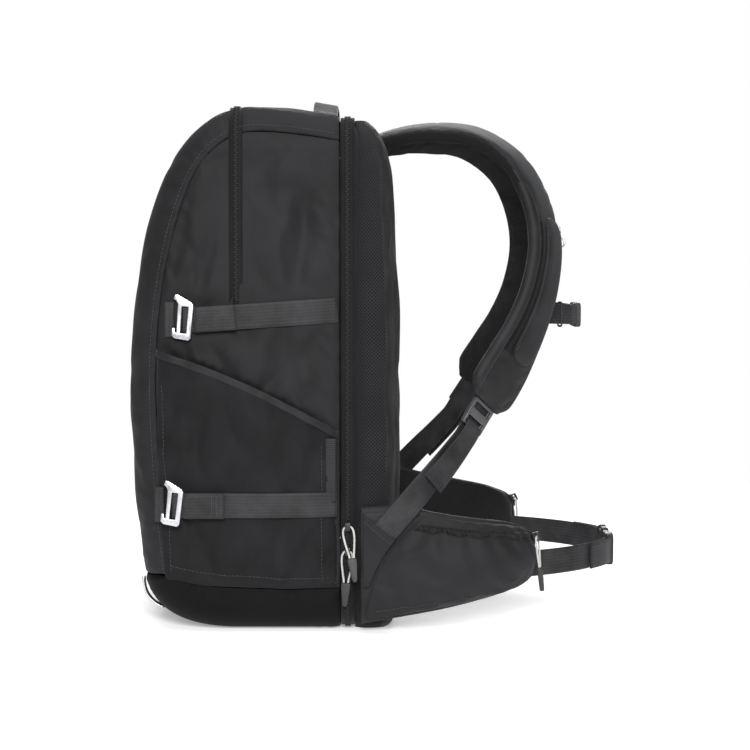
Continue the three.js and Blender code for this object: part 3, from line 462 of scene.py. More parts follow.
# Moulded plastic, rubber or cast metal: clouds of two near tones with uneven gloss, and a grain that is fine
# and spark-eroded on plastic and soft on metal
def mouldedOrCast(name, look):
    material, tree = newMaterial(name)
    spot = addNode(tree, "ShaderNodeTexCoord").outputs["Object"]
    cloud = addNode(tree, "ShaderNodeTexNoise", {
        "Vector": spot, "Scale": noiseScale(look["cloud"]), "Detail": look["detail"]}).outputs["Fac"]
    grain = addNode(tree, "ShaderNodeTexNoise", {
        "Vector": spot, "Scale": noiseScale(look["grain"]), "Detail": look["grainDetail"]})
    color = addNode(tree, "ShaderNodeMixRGB", {
        "Fac": cloud, "Color1": hexColor(look["dark"]), "Color2": hexColor(look["light"])})
    rough = addNode(tree, "ShaderNodeMapRange", {
        "Value": cloud, "To Min": look["rough"] - 0.1, "To Max": look["rough"] + 0.1})
    bump = addNode(tree, "ShaderNodeBump", {
        "Height": grain.outputs["Fac"], "Strength": look["bump"], "Distance": look["relief"] * mm})
    return finishMaterial(material, {
        "Base Color": color.outputs["Color"], "Roughness": rough.outputs["Result"],
        "Normal": bump.outputs["Normal"], "IOR": look["ior"], "Metallic": look["metallic"]})


# One row for each cloth, with colours in sRGB and thread, cloud, fuzz and relief sizes in millimetres
clothColumns = (
    "dark", "light", "warp", "weft", "turn", "cloud", "grain", "fuzz", "bump", "relief", "rough", "gloss",
    "sheen")
clothRows = {
    "coated_nylon": ("#171718", "#29292b", 1.1, 1.1, 0, 110, 0.3, 2.2, 0.35, 0.25, 0.66, 0.13, 0.06),
    # The base's nylon is darker than the rest as painted shade, because the base faces the floor
    "shaded_base_nylon": ("#070708", "#101011", 1.6, 1.6, 45, 45, 0.3, 2.5, 0.45, 0.35, 0.7, 0.1, 0.03),
    "stretch_twill": ("#111112", "#202022", 1.4, 60, 28, 50, 0.22, 1.8, 0.4, 0.25, 0.7, 0.11, 0.07),
    "strap_nylon": ("#131314", "#2a2a2c", 1.2, 1.2, 0, 40, 0.2, 2.0, 0.4, 0.25, 0.6, 0.18, 0.08),
    "woven_webbing": ("#161617", "#363638", 3.1, 2.1, 0, 26, 0.25, 1.4, 0.5, 0.35, 0.58, 0.2, 0.08),
    "grosgrain_binding": ("#18181a", "#2b2b2d", 40, 1.9, 0, 30, 0.3, 1.4, 0.55, 0.3, 0.6, 0.18, 0.08),
    "zip_tape": ("#111112", "#1c1c1e", 1.5, 1.5, 45, 25, 0.3, 1.2, 0.4, 0.2, 0.65, 0.14, 0.12),
    "spun_thread": ("#303032", "#4a4a4c", 0.7, 0.7, 30, 12, 0.2, 0.8, 0.3, 0.1, 0.6, 0.18, 0.08),
    "braided_cord": ("#8f908e", "#d9d9d5", 1.6, 1.6, 45, 8, 0.5, 0.8, 0.7, 0.4, 0.65, 0.18, 0.15),
}
meshColumns = ("dark", "thread", "light", "period", "lean", "hole", "bump", "relief")
meshRows = {
    "spacer_mesh": ("#060607", "#202022", "#2c2c2e", 2.2, 38, 0.35, 0.8, 0.9),
    "lining_mesh": ("#060607", "#121213", "#1c1c1e", 2.2, 36, 0.3, 0.6, 0.6),
}
# Acetal and nylon come out of the mould satin, and the zip's coil and rubber dull. Cast aluminium is tumbled
# and clear anodised, a soft satin that is a little rubbed; a metal keeps the default IOR.
hardColumns = (
    "dark", "light", "grain", "grainDetail", "cloud", "detail", "rough", "ior", "metallic", "bump", "relief")
hardRows = {
    "moulded_acetal": ("#101011", "#1b1b1c", 0.6, 2.0, 9, 3.0, 0.42, 1.48, 0.0, 0.25, 0.1),
    "moulded_coil": ("#0b0b0c", "#131314", 0.5, 2.0, 9, 3.0, 0.62, 1.4, 0.0, 0.25, 0.1),
    "moulded_nylon": ("#2c2c2e", "#48484b", 0.6, 2.0, 9, 3.0, 0.36, 1.53, 0.0, 0.25, 0.1),
    "dark_rubber": ("#151516", "#222224", 0.8, 2.0, 9, 3.0, 0.6, 1.52, 0.0, 0.25, 0.1),
    "anodised_aluminium": ("#a8a9ac", "#dcdde0", 6, 5.0, 6, 5.0, 0.38, 1.5, 1.0, 0.15, 0.2),
}
cloths = {name: wovenCloth(name, dict(zip(clothColumns, row))) for name, row in clothRows.items()}
cloths.update({name: spacerMesh(name, dict(zip(meshColumns, row))) for name, row in meshRows.items()})
solids = {name: mouldedOrCast(name, dict(zip(hardColumns, row))) for name, row in hardRows.items()}
print("materials ready:", len(bpy.data.materials))

# Bag body: one side outline, carried across the bag round soft corners, in sewn panels
bag = {
    "halfWidth": 150, "backX": 75, "topZ": 500, "cornerRadius": 30, "frontCrown": 6, "sideBulge": 6,
    "bulgeFrontX": -100, "seamInset": 26, "topZipX": -24, "baseSeamFrontZ": 54, "topCornerZ": 470,
    "roll": 2.0, "rollWidth": 3.6, "rearFade": 0.05, "wall": 2.0, "stitchIn": 5.5, "stitchUp": 6,
    "stitchLift": 0.3,
}
tuck = {"waves": (17, 60), "fade": 11, "rise": 4, "high": 0.9}
outlineStart = [(75, 0), (-30, 0)]
# Each row is one curve: the two points that steer it, then its end
outlineBends = [
    [(-75, 1), (-105, 14), (-115, 48)],
    [(-122, 100), (-128.5, 180), (-128.5, 240)],
    [(-128.5, 315), (-116, 385), (-95, 437)],
    [(-78, 480), (-45, 508), (-10, 509)],
    [(20, 510), (50, 505), (75, 500)],
]
baseSeamRows = np.array([(-250, 62), (-110, 54), (-56, 45), (26, 42), (120, 44)], float)


# The base's straight line, then a cubic Bezier curve for each bend
def sideOutline(steps=160):
    t = np.linspace(0, 1, steps + 1)[1:, None]
    start = np.array(outlineStart, float)
    points = [start[:1], start[:1] + (start[1:] - start[:1]) * t]
    here = start[1]
    for a, b, c in np.array(outlineBends, float):
        points.append(here * (1 - t) ** 3 + 3 * a * t * (1 - t) ** 2 + 3 * b * t ** 2 * (1 - t) + c * t ** 3)
        here = c
    return np.concatenate(points)


outlinePath = sideOutline()
outlinePlace = runOf(outlinePath)
outlineTangent = unit(np.gradient(outlinePath, outlinePlace, axis=0))


# Point of the outline and the way out of the bag there, by share of its length
def outlineAt(share):
    place = np.asarray(share, float) * outlinePlace[-1]
    x, z = (np.interp(place, outlinePlace, outlinePath[:, k]) for k in (0, 1))
    tx, tz = (np.interp(place, outlinePlace, outlineTangent[:, k]) for k in (0, 1))
    return x, z, -tz, tx


# Share of the outline, between two shares, whose x or z comes nearest to a value
def outlineShare(column, value, after, before=1.0):
    shares = outlinePlace / outlinePlace[-1]
    inside = (shares >= after) & (shares <= before)
    return shares[np.argmin(np.where(inside, np.abs(outlinePath[:, column] - value), np.inf))]


# Height of the base seam: straight between its rows
def baseSeamZ(x):
    return np.interp(x, baseSeamRows[:, 0], baseSeamRows[:, 1])


# How far the filled side stands out: a product of two parabolas along and up the side
def sideBulge(x, z):
    a = np.clip((x - bag["bulgeFrontX"]) / (bag["backX"] - bag["bulgeFrontX"]), 0, 1)
    u = np.clip(z / bag["topZ"], 0, 1)
    return bag["sideBulge"] * 16 * a * (1 - a) * u * (1 - u)


# Half the bag's width at a place on its side, with the bulge
def sideFace(x, z):
    return bag["halfWidth"] + sideBulge(x, z)


# The outline leans forward at its rear end: what lies inside it there keeps the rear edge's own place
def rearFade(share):
    return inFrom(1 - share, bag["rearFade"])


# How far the front bows out between its corners: a parabola across it, where it faces forward
def frontCrown(ox, across):
    return bag["frontCrown"] * np.maximum(0, -ox) * (1 - (across / bag["halfWidth"]) ** 2)


# Bag skin by share of the outline and girth from the middle: flat across, round the corner by an arc, then
# on along the side
def skinAt(share, girth):
    radius, flatHalf = bag["cornerRadius"], bag["halfWidth"] - bag["cornerRadius"]
    px, pz, ox, oz = outlineAt(share)
    hand = np.sign(girth)
    extra = np.maximum(np.abs(girth) - flatHalf, 0)
    angle = np.minimum(extra / radius, np.pi / 2)
    depth = radius * (1 - np.cos(angle)) + extra - angle * radius
    across = hand * (np.minimum(np.abs(girth), flatHalf) + radius * np.sin(angle))
    x, z = px - ox * depth * rearFade(share) - frontCrown(ox, across), pz - oz * depth
    y = across + hand * np.sin(angle) * sideBulge(x, z)
    normal = vec(ox * np.cos(angle), hand * np.sin(angle), oz * np.cos(angle))
    return vec(x, y, z), normal


# Girth that reaches a depth in from the outline, round the corner and on along the side
def girthOfDepth(depth):
    radius = bag["cornerRadius"]
    bent = np.arccos(1 - np.minimum(depth, radius) / radius) * radius
    return bag["halfWidth"] - radius + bent + np.maximum(depth - radius, 0)


# A sewn panel dips at its seams, and small tucks run in from them and die away
def sewnDip(edge, run, seed):
    waves = softWaves(run, edge, *tuck["waves"], seed)
    tucks = waves * np.exp(-edge / tuck["fade"]) * (1 - np.exp(-edge / tuck["rise"])) * tuck["high"]
    return tucks - bag["roll"] * np.exp(-(edge / bag["rollWidth"]) ** 2)


# Share of the way from -1 to 1, with more columns towards both ends
def crowdedEnds(count, crowd=0.55):
    t = np.linspace(-1, 1, count)
    return (1 - crowd) * t + crowd * np.sin(t * np.pi / 2)


shareBase = outlineShare(1, bag["baseSeamFrontZ"], 0.15, 0.4)
shareZip = outlineShare(0, bag["topZipX"], 0.6)
# sewn is how near a seam the cloth stays where it is
panelLook = {
    "front": {"pressure": 0.15, "slack": 0.012, "stiff": 0.6, "frames": 18, "cap": 0.7, "sewn": 3},
    "side": {"pressure": 0.25, "slack": 0.012, "stiff": 0.6, "frames": 18, "cap": 4, "sewn": 3},
}
# Each pair is the wave length along and across the panel
frontFolds = {
    "long": (110, 50), "longHigh": 0.5, "short": (40, 26), "shortHigh": 0.15, "fade": 30,
    "crease": (210, 100), "creaseHigh": 1.3, "creaseFade": 25, "nearEnd": 12, "columns": 56}


# Front and top: a strip of skin between the side seams, with soft waves and creases that fade at its edges
def stripPanel(name, node, shares, seed, look=None):
    seam = girthOfDepth(bag["seamInset"])
    share, girth = np.meshgrid(shares, crowdedEnds(frontFolds["columns"]) * seam, indexing="ij")
    points, normal = skinAt(share, girth)
    run = share * outlinePlace[-1]
    ends = np.minimum(run - run.min(), run.max() - run)
    edge = np.minimum(seam - np.abs(girth), ends)
    drape = softWaves(run, girth, *frontFolds["long"], seed) * frontFolds["longHigh"]
    drape = drape + softWaves(run, girth, *frontFolds["short"], seed + 5) * frontFolds["shortHigh"]
    drape = drape * inFrom(edge, frontFolds["fade"])
    dip = sewnDip(edge, np.where(ends < frontFolds["nearEnd"], girth, run), seed + 1)
    points = points + normal * (dip + drape)[..., None]
    if look:
        points = settleCloth(name, points, edge < look["sewn"], look, facing=normal)
    dent = creases(run, girth, *frontFolds["crease"], seed + 7) * inFrom(edge, frontFolds["creaseFade"])
    points = points - normal * (dent * frontFolds["creaseHigh"])[..., None]
    addSheet(name, points, normal, cloths["coated_nylon"], bag["wall"], [node])


stripPanel("front_panel_cloth", "front_panel", np.linspace(shareBase, shareZip, 104), 11, panelLook["front"])
stripPanel("top_panel_cloth", "top_panel", np.linspace(shareZip, 1.0, 26), 13)

tray = {"wall": 2.5, "steepest": 0.12, "least": 0.2, "most": 46, "flat": 0.98, "flatDip": 0.35}


# Base: a tray that wraps up both sides to its seam, which closes on the outline at the front
def baseTray():
    share = np.linspace(0, shareBase, 74)
    x, z, _, oz = outlineAt(share)
    depth = np.clip((baseSeamZ(x) - z) / np.maximum(-oz, tray["steepest"]), tray["least"], tray["most"])
    reach = girthOfDepth(depth)
    flatHalf = bag["halfWidth"] - bag["cornerRadius"]
    inner = np.linspace(0, 1, 12)[:-1]
    outer = np.sin(np.linspace(0, 1, 22) * np.pi / 2)
    flat = np.repeat((inner * flatHalf)[None], len(share), 0)
    half = np.concatenate([flat, flatHalf + outer * (reach[:, None] - flatHalf)], 1)
    girth = np.concatenate([-half[:, :0:-1], half], 1)
    grid = np.repeat(share[:, None], girth.shape[1], 1)
    points, normal = skinAt(grid, girth)
    run = grid * outlinePlace[-1]
    edge = np.minimum(reach[:, None] - np.abs(girth), np.minimum(run, run.max() - run))
    lift = sewnDip(edge, run, 17) * np.where(np.abs(normal[..., 2]) > tray["flat"], tray["flatDip"], 1)
    points = points + normal * lift[..., None]
    points[..., 2] = np.maximum(points[..., 2], 0)
    # The base's cloth is the pack's nylon, darkened as painted shade
    addSheet(
        "base_panel_cloth", points, normal, cloths["shaded_base_nylon"], tray["wall"], ["base_panel"])


baseTray()


# Coons patch: the two pairs of opposite edges are blended, less the blend of the four corners
def coonsPatch(left, right, foot, head):
    v = np.linspace(0, 1, len(left))[:, None, None]
    u = np.linspace(0, 1, len(foot))[None, :, None]
    corners = (1 - u) * (1 - v) * foot[0] + u * (1 - v) * foot[-1] + (1 - u) * v * head[0] + u * v * head[-1]
    return (1 - v) * foot[None] + v * head[None] + (1 - u) * left[:, None] + u * right[:, None] - corners


sideStrapRows = {
    "upper": {"hookX": -73, "hookZ": 304, "endX": 73, "endZ": 313},
    "lower": {"hookX": -84, "hookZ": 126, "endX": 72, "endZ": 126},
}
sideFolds = {
    "long": (48, 150), "longHigh": 2.0, "short": (26, 40), "shortHigh": 0.5, "fade": 25,
    "crease": (85, 130), "creaseHigh": 2.6, "creaseFade": 20}
strapFan = {"high": 1.6, "folds": 9, "reach": 30}


# The filled side hangs in long upright folds, and short ones fan out from where each strap pulls: a sine
# round the pull, which rises to its reach and then dies away
def sideDrape(x, z):
    folds = softWaves(x, z, *sideFolds["long"], 23) * sideFolds["longHigh"]
    folds = folds + softWaves(x, z, *sideFolds["short"], 24) * sideFolds["shortHigh"]
    for row in sideStrapRows.values():
        for px, pz in ((row["hookX"], row["hookZ"]), (row["endX"], row["endZ"])):
            far = np.hypot(x - px, z - pz) / strapFan["reach"]
            fan = strapFan["high"] * np.sin(strapFan["folds"] * np.arctan2(z - pz, x - px))
            folds = folds + fan * far * np.exp(1 - far)
    return folds


# Stretch pockets: slack at the slanted mouth, sewn flat round the other three edges
pocket = {
    "frontX": -94, "backX": 72, "footZ": 46, "wall": 1.5, "clothWall": 1.4, "seat": 0.7, "slack": 12,
    "openPower": 0.7, "upPower": 1.3, "bow": 8, "bowFootZ": 40, "bowHeight": 360, "mouthFront": 275,
    "mouthBack": 196, "mouthBow": 7, "rim": 6, "tucked": 2.5, "edgeRoom": 0.2, "sewn": 14, "sunk": 3.2,
    "sunkWidth": 3, "seamGap": 0.5, "span": (166, 190), "stitchLift": 0.4}
pocketFolds = {
    "waves": (38, 80), "high": 1.3, "drape": 0.5, "fade": 20, "crease": (80, 140), "creaseHigh": 1.6,
    "mouthFade": 0.15}
pocketLook = {"pressure": 0.2, "slack": 0.015, "stiff": 0.4, "frames": 18, "cap": 3, "sewn": 3}
hem = {"width": 7, "thickness": 1.7, "lift": 0.2, "drop": 3.2}
tab = {"x": 66, "fromZ": 128, "toZ": 190, "width": 10, "thickness": 1.4, "lift": 1.2}


# Height of the mouth: straight from its front to its back, with a parabola's bow
def pocketMouthZ(a):
    fall = pocket["mouthBack"] - pocket["mouthFront"]
    return pocket["mouthFront"] + fall * a + 4 * pocket["mouthBow"] * a * (1 - a)


# Front edge of the pocket: half a sine's bow forward
def pocketFrontX(z):
    return pocket["frontX"] - pocket["bow"] * np.sin(np.pi * (z - pocket["bowFootZ"]) / pocket["bowHeight"])


# How far the pocket stands off the side: a power of a sine along it times a power of the share up it
def pocketOff(a, up):
    opened = np.sin(np.pi * np.clip(a, 0, 1)) ** pocket["openPower"]
    return pocket["seat"] + pocket["slack"] * opened * np.clip(up, 0, 1) ** pocket["upPower"]


# Share along the pocket from its front edge to its back
def pocketShare(x, z):
    return (x - pocketFrontX(z)) / (pocket["backX"] - pocketFrontX(z))


# Outer face of the bare wall or, where the pocket covers it, of the pocket
def coveredFace(x, z):
    a = pocketShare(x, z)
    mouth = pocketMouthZ(np.clip(a, 0, 1))
    over = sideFace(x, z) + pocketOff(a, (z - pocket["footZ"]) / (mouth - pocket["footZ"])) + pocket["wall"]
    return np.where((z > mouth + pocket["rim"]) | (a < 0), sideFace(x, z), over)


# Whether the pocket covers a place by a margin from its sewn edges, and below its mouth
def pocketCovers(x, z, margin):
    a = pocketShare(x, z)
    inset = margin / (pocket["backX"] - pocket["frontX"])
    above = z > pocket["footZ"] + margin
    return (a > inset) & (a < 1 - inset) & above & (z < pocketMouthZ(np.clip(a, 0, 1)))


# Pocket cloth by share along and up it: straight from the base seam to the mouth, off the side by its slack
def pocketGrid(a, up):
    foot = baseSeamZ(pocket["frontX"] + (pocket["backX"] - pocket["frontX"]) * a) + pocket["seamGap"]
    z = foot + (pocketMouthZ(a) - foot) * up
    x = pocketFrontX(z) + (pocket["backX"] - pocketFrontX(z)) * a
    return x, sideFace(x, z) + pocketOff(a, up) + pocket["wall"], z


holdDown = {"strapHalf": 13, "zipHalf": 8, "zipFootZ": 316, "ease": 16, "puff": 3.6, "tight": 0.1}


# How far the cloth may stand off: hardly at all under a strap or the top zip, more the further from them
def heldOff(x, z):
    away = np.full(np.shape(x), np.inf)
    for row in sideStrapRows.values():
        long, rise = row["endX"] - row["hookX"], row["endZ"] - row["hookZ"]
        level = row["hookZ"] + rise * (x - row["hookX"]) / long
        away = np.minimum(away, np.abs(z - level) - holdDown["strapHalf"])
    zipAway = np.maximum(np.abs(x - bag["topZipX"]) - holdDown["zipHalf"], holdDown["zipFootZ"] - z)
    away = np.maximum(np.minimum(away, zipAway), 0)
    return holdDown["tight"] + holdDown["puff"] * (1 - np.exp(-(away / holdDown["ease"]) ** 2))


# Seam of the side with the front and top: the outline moved in by the seam's inset
def seamLine(share):
    x, z, ox, oz = outlineAt(share)
    return np.stack([x - ox * bag["seamInset"] * rearFade(share), z - oz * bag["seamInset"]], 1)


# Side panel: its front and top edges follow the seam inside the outline, its foot the base seam. Under the
# pocket it is tucked in, and elsewhere it stands off no further than it is let.
def sidePanels():
    rows, columns = 104, 52
    bend = outlineShare(1, bag["topCornerZ"], 0.5, 0.8)
    left, head = seamLine(np.linspace(shareBase, bend, rows)), seamLine(np.linspace(bend, 1.0, columns))
    footX = np.linspace(left[0, 0], bag["backX"], columns)
    rise = (left[0, 1] - baseSeamZ(footX[0])) * np.linspace(1, 0, columns) ** 2
    foot = np.stack([footX, baseSeamZ(footX) + rise], 1)
    right = np.stack([np.full(rows, bag["backX"]), np.linspace(foot[-1, 1], head[-1, 1], rows)], 1)
    patch = coonsPatch(left, right, foot, head)
    x, z = patch[..., 0], patch[..., 1]
    u, v = np.meshgrid(np.linspace(0, 1, columns), np.linspace(0, 1, rows))
    wide, high = x.max(1, keepdims=True) - x.min(1, keepdims=True), z.max(0) - z.min(0)
    edge = np.minimum(np.minimum(u, 1 - u) * wide, np.minimum(v, 1 - v) * high)
    off = sideFace(x, z) + sewnDip(edge, z + x, 29) + sideDrape(x, z) * inFrom(edge, sideFolds["fade"])
    look = panelLook["side"]
    points = settleCloth("side_settle", vec(x, -off, z), edge < look["sewn"], look, facing=-wayY)
    x, z = points[..., 0], points[..., 2]
    loose = heldOff(x, z)
    under = np.where(pocketCovers(x, z, 0), pocket["edgeRoom"], loose)
    under = np.where(pocketCovers(x, z, pocket["sewn"]), -pocket["tucked"], under)
    points[..., 1] = np.maximum(points[..., 1], -sideFace(x, z) - under)
    dent = sideFolds["creaseHigh"] * creases(x, z, *sideFolds["crease"], 25) * loose / holdDown["puff"]
    points[..., 1] += dent * inFrom(edge, sideFolds["creaseFade"])
    shares = np.linspace(shareBase, 0.995, 260)
    for side, hand in hands:
        addSheet(
            f"side_panel_{side}_cloth", mirrored(points, -hand), hand * wayY, cloths["coated_nylon"],
            bag["wall"], [f"side_panel_{side}"])
        girth = np.full(len(shares), hand * girthOfDepth(bag["seamInset"] - bag["stitchIn"]))
        seam, normal = skinAt(shares, girth)
        stitchRow(seam + normal * bag["stitchLift"], normal)
        base = vec(foot[:, 0], hand * sideFace(foot[:, 0], foot[:, 1]), foot[:, 1] + bag["stitchUp"])
        stitchRow(base[2:-1], hand * wayY)


sidePanels()
print("bag panels sewn")

# Zips: a tape with a raised coil down its middle, and teeth across the coil
mainZip = {"fromX": 75.3, "toX": 88.7, "halfWidth": 148, "footZ": 2, "topZ": 498, "radius": 28, "wall": 6}
topZip = {"width": 13, "footZ": 320, "lift": 0.6, "wall": 1.4}
hipZip = {"width": 9, "up": 0.87, "lift": 0.6, "wall": 1.2}
coil = [(-3.2, 0), (-2.4, 0.6), (-1.2, 1.1), (0, 1.25), (1.2, 1.1), (2.4, 0.6), (3.2, 0)]
tooth = {"pitch": 2.4, "length": 1.3, "width": 4.2, "height": 0.8, "lift": 1.0, "shift": 0.7}
boxShape = np.array([(x, y, z) for x in (-0.5, 0.5) for y in (-0.5, 0.5) for z in (-0.5, 0.5)])
boxFaces = np.array([(0, 1, 3, 2), (4, 6, 7, 5), (0, 4, 5, 1), (2, 3, 7, 6), (0, 2, 6, 4), (1, 5, 7, 3)])


# Tape section: flat edges, a half-round coil in the middle, and a flat underside
def zipSection(width, wall):
    half = width / 2
    return np.array([(-half, 0), *coil, (half, 0), (half, -wall), (-half, -wall)])


# Teeth: small boxes at an even pitch along the coil, shifted to one side and the other by turns
def zipTeeth(name, path, across, out):
    count = int(pathLength(path) / tooth["pitch"])
    ways = [np.broadcast_to(way, path.shape) for way in (across, out)]
    place = evenly(np.concatenate([path, *ways], 1), count)
    spot, sideways, up = place[:, :3], unit(place[:, 3:6]), unit(place[:, 6:])
    heading = unit(np.cross(sideways, up))
    axes = np.stack([heading * tooth["length"], sideways * tooth["width"], up * tooth["height"]], 1)
    shift = sideways * np.where(np.arange(count) % 2, tooth["shift"], -tooth["shift"])[:, None]
    mesh = scatterMesh(name, boxShape, boxFaces, spot + up * tooth["lift"] + shift, axes)
    addPiece(name, mesh, solids["moulded_coil"])


# Rounded rectangle in the plane of the back panel, with the way out of it
def roundedLoop(halfWidth, footZ, topZ, radius, cornerSteps=14, sideSteps=60):
    points, ways = [], []
    low, high = footZ + radius, topZ - radius
    for hand, z, start in ((1, low, -90), (1, high, 0), (-1, high, 90), (-1, low, 180)):
        angle = np.radians(start + np.linspace(0, 90, cornerSteps))
        way = vec(0, np.cos(angle), np.sin(angle))
        points.append(np.array([0, hand * (halfWidth - radius), z]) + radius * way)
        ways.append(way)
    path = np.concatenate([*points, points[0][:1]])
    ways = np.concatenate([*ways, ways[0][:1]])
    both = evenly(np.concatenate([path, ways], 1), 4 * sideSteps + 1)[:-1]
    return both[:, :3], unit(both[:, 3:])


# The main zip runs round the back in a rounded rectangle, and the top zip over the bag's skin at one X
def zips():
    path, out = roundedLoop(mainZip["halfWidth"], mainZip["footZ"], mainZip["topZ"], mainZip["radius"])
    path = path + np.array([(mainZip["fromX"] + mainZip["toX"]) / 2, 0, 0])
    section = zipSection(mainZip["toX"] - mainZip["fromX"], mainZip["wall"])
    tape = carried(path, wayX, out, section)
    addTube("main_zip_tape", tape, cloths["zip_tape"], ["main_zip"], loop=True)
    zipTeeth("main_zip_teeth", path, wayX, out)
    _, z, _, oz = outlineAt(shareZip)
    reach = girthOfDepth((z - topZip["footZ"]) / oz)
    girth = np.linspace(-reach, reach, 260)
    path, out = skinAt(np.full(len(girth), shareZip), girth)
    path[:, 0] = bag["topZipX"]
    path = path + out * topZip["lift"]
    tape = carried(path, wayX, out, zipSection(topZip["width"], topZip["wall"]))
    addTube("top_zip_tape", tape, cloths["zip_tape"], ["top_zip"])
    zipTeeth("top_zip_teeth", path, wayX, out)


zips()

# Each row is x, half width, foot, top and corner radius
backGusset = {"zip": (86, 146, 5, 495, 26), "panel": (96, 134, 8, 478, 24), "wall": 1.5}


# Cloth that joins the zip to the back panel: straight lines between two rounded rectangles
def backGussetRing():
    rows = backGusset["zip"], backGusset["panel"]
    near, far = (roundedLoop(*row[1:])[0] + [row[0], 0, 0] for row in rows)
    t = np.linspace(0, 1, 8)[None, :, None]
    points = near[:, None] * (1 - t) + far[:, None] * t
    addSheet(
        "back_gusset_cloth", points, wayX, cloths["coated_nylon"], backGusset["wall"],
        loop=True, finer=False)


backGussetRing()

handle = {"share": 0.979, "width": 25, "thickness": 4, "halfSpan": 66, "rise": 13, "ramp": 1.6, "gap": 0.3}


# Grab handle: a band near the back panel, arched by a fourth power and drawn down straight at both ends
def grabHandle():
    x, z, ox, oz = outlineAt(handle["share"])
    off = handle["gap"] + handle["thickness"] / 2
    s = np.linspace(-1, 1, 60)
    lift = handle["rise"] * (1 - s ** 4) * np.minimum(1, handle["ramp"] * (1 - np.abs(s)))
    path = vec(x + ox * off, s * handle["halfSpan"], z + oz * off + lift)
    addBand(
        "grab_handle_web", path, np.array([oz, 0, -ox]), handle["width"], handle["thickness"],
        cloths["woven_webbing"], ["grab_handle"])


grabHandle()


# Pocket cloth with waves, sunk at its sewn edges and held down by the straps, with a hem along its mouth and
# a tab up its rear edge
def sidePockets():
    up, a = np.meshgrid(np.linspace(0, 1, 44), np.linspace(0, 1, 48), indexing="ij")
    x, y, z = pocketGrid(a, up)
    limit = y
    edge = np.minimum(np.minimum(a, 1 - a) * pocket["span"][0], up * pocket["span"][1])
    fade = inFrom(edge, pocketFolds["fade"])
    waves = softWaves(x, z, *pocketFolds["waves"], 41) * pocketFolds["high"]
    waves = waves + sideDrape(x, z) * pocketFolds["drape"]
    y = y + waves * fade - pocket["sunk"] * np.exp(-(edge / pocket["sunkWidth"]) ** 2)
    points = settleCloth("pocket_settle", vec(x, -y, z), edge < pocketLook["sewn"], pocketLook, facing=-wayY)
    held = heldOff(points[..., 0], points[..., 2])
    points[..., 1] = np.maximum(points[..., 1], -(limit + held))
    loose = fade * inFrom(1 - up, pocketFolds["mouthFade"]) * held / holdDown["puff"]
    points[..., 1] += pocketFolds["creaseHigh"] * creases(x, z, *pocketFolds["crease"], 43) * loose
    tabZ = np.linspace(tab["fromZ"], tab["toZ"], 24)
    tabY = coveredFace(np.full(len(tabZ), tab["x"]), tabZ) + tab["lift"]
    for side, hand in hands:
        here, out = mirrored(points, -hand), hand * wayY
        addSheet(
            f"side_pocket_{side}_cloth", here, out, cloths["stretch_twill"],
            pocket["clothWall"], [f"side_pocket_{side}"])
        mouth = here[-1] + out * hem["lift"] - [0, 0, hem["drop"]]
        addBand(
            f"pocket_hem_{side}", mouth, wayZ, hem["width"], hem["thickness"], cloths["grosgrain_binding"])
        addBand(
            f"pocket_tab_{side}", vec(tab["x"], hand * tabY, tabZ), wayX, tab["width"], tab["thickness"],
            cloths["grosgrain_binding"])
        for row in (here[2:38, 2], here[2:38, -5], here[3, 2:-2]):
            stitchRow(row + out * pocket["stitchLift"], out)


sidePockets()
print("zips, handle and pockets sewn")

# Side straps with open metal hooks
sideWebbing = {"width": 24, "thickness": 1.4, "tail": 38, "clear": 0.5, "level": 0.8}
sideTack = {"away": (24, 29), "half": 10}
hook = {
    "thickness": 3.5, "foldX": 12.5, "tongue": 2, "reachX": -2, "setBack": 15, "loopWidth": 9, "loopHalf": 17,
    "loopThickness": 1.5, "bow": 0.6, "edge": 0.9}
lashHook = {
    "acrossY": 112, "width": 9, "thickness": 3, "fromShare": 0.218, "toShare": 0.262, "seat": 0.9, "bow": 4}


# A strap lies on whatever covers the side, turns back round its hook's bar and is tacked. A tongue of webbing
# runs on into the hook, and the loop that the hook holds bows out by a parabola.
def sideStrap(level, row, side, hand):
    out, webbing = hand * wayY, cloths["woven_webbing"]
    width, thickness, clear = sideWebbing["width"], sideWebbing["thickness"], sideWebbing["clear"]
    turn = hook["thickness"] / 2 + clear + thickness / 2
    t = np.linspace(0, 1, 41)
    barX = row["hookX"] + hook["foldX"]
    x, z = row["endX"] + (barX - row["endX"]) * t, row["endZ"] + (row["hookZ"] - row["endZ"]) * t
    coverX = np.maximum(x, row["endX"] + (barX - row["endX"]) * sideWebbing["level"])
    off = np.max([coveredFace(coverX, z + e * width / 2) for e in (-1, 0, 1)], 0) + clear + thickness / 2
    path = foldedPath(vec(x, hand * off, z), out, turn, sideWebbing["tail"])
    node = f"{level}_strap_{side}"
    addBand(f"{node}_web", path, wayZ, width, thickness, webbing, [node])
    barX = row["hookX"] + np.linspace(hook["foldX"] + hook["tongue"], hook["reachX"], 12)
    bar = vec(barX, hand * off[-1], row["hookZ"])
    addBand(f"{level}_hook_tongue_{side}", bar, wayZ, width, thickness, webbing)
    cast = f"{level}_hook_{side}"
    roundedCopy(cast, f"{cast}_cast", solids["anodised_aluminium"], hook["edge"])
    share = np.linspace(-1, 1, 21)
    loopX, loopZ = row["hookX"] - hook["setBack"], row["hookZ"] + share * hook["loopHalf"]
    face = np.maximum(*(coveredFace(loopX + e * hook["loopWidth"] / 2, loopZ) for e in (-1, 1)))
    bow = face + clear + hook["loopThickness"] / 2 + hook["bow"] * (1 - share ** 2)
    addBand(
        f"{level}_loop_{side}_web", vec(loopX, hand * bow, loopZ), wayX, hook["loopWidth"],
        hook["loopThickness"], webbing, [f"{level}_loop_{side}"])
    seam = path[len(t) - 1] + out * (2 * turn + thickness / 2)
    for away in sideTack["away"]:
        tack = vec(away, 0, np.linspace(-sideTack["half"], sideTack["half"], 8))
        stitchRow(seam + tack, out, stitch["tackPitch"])


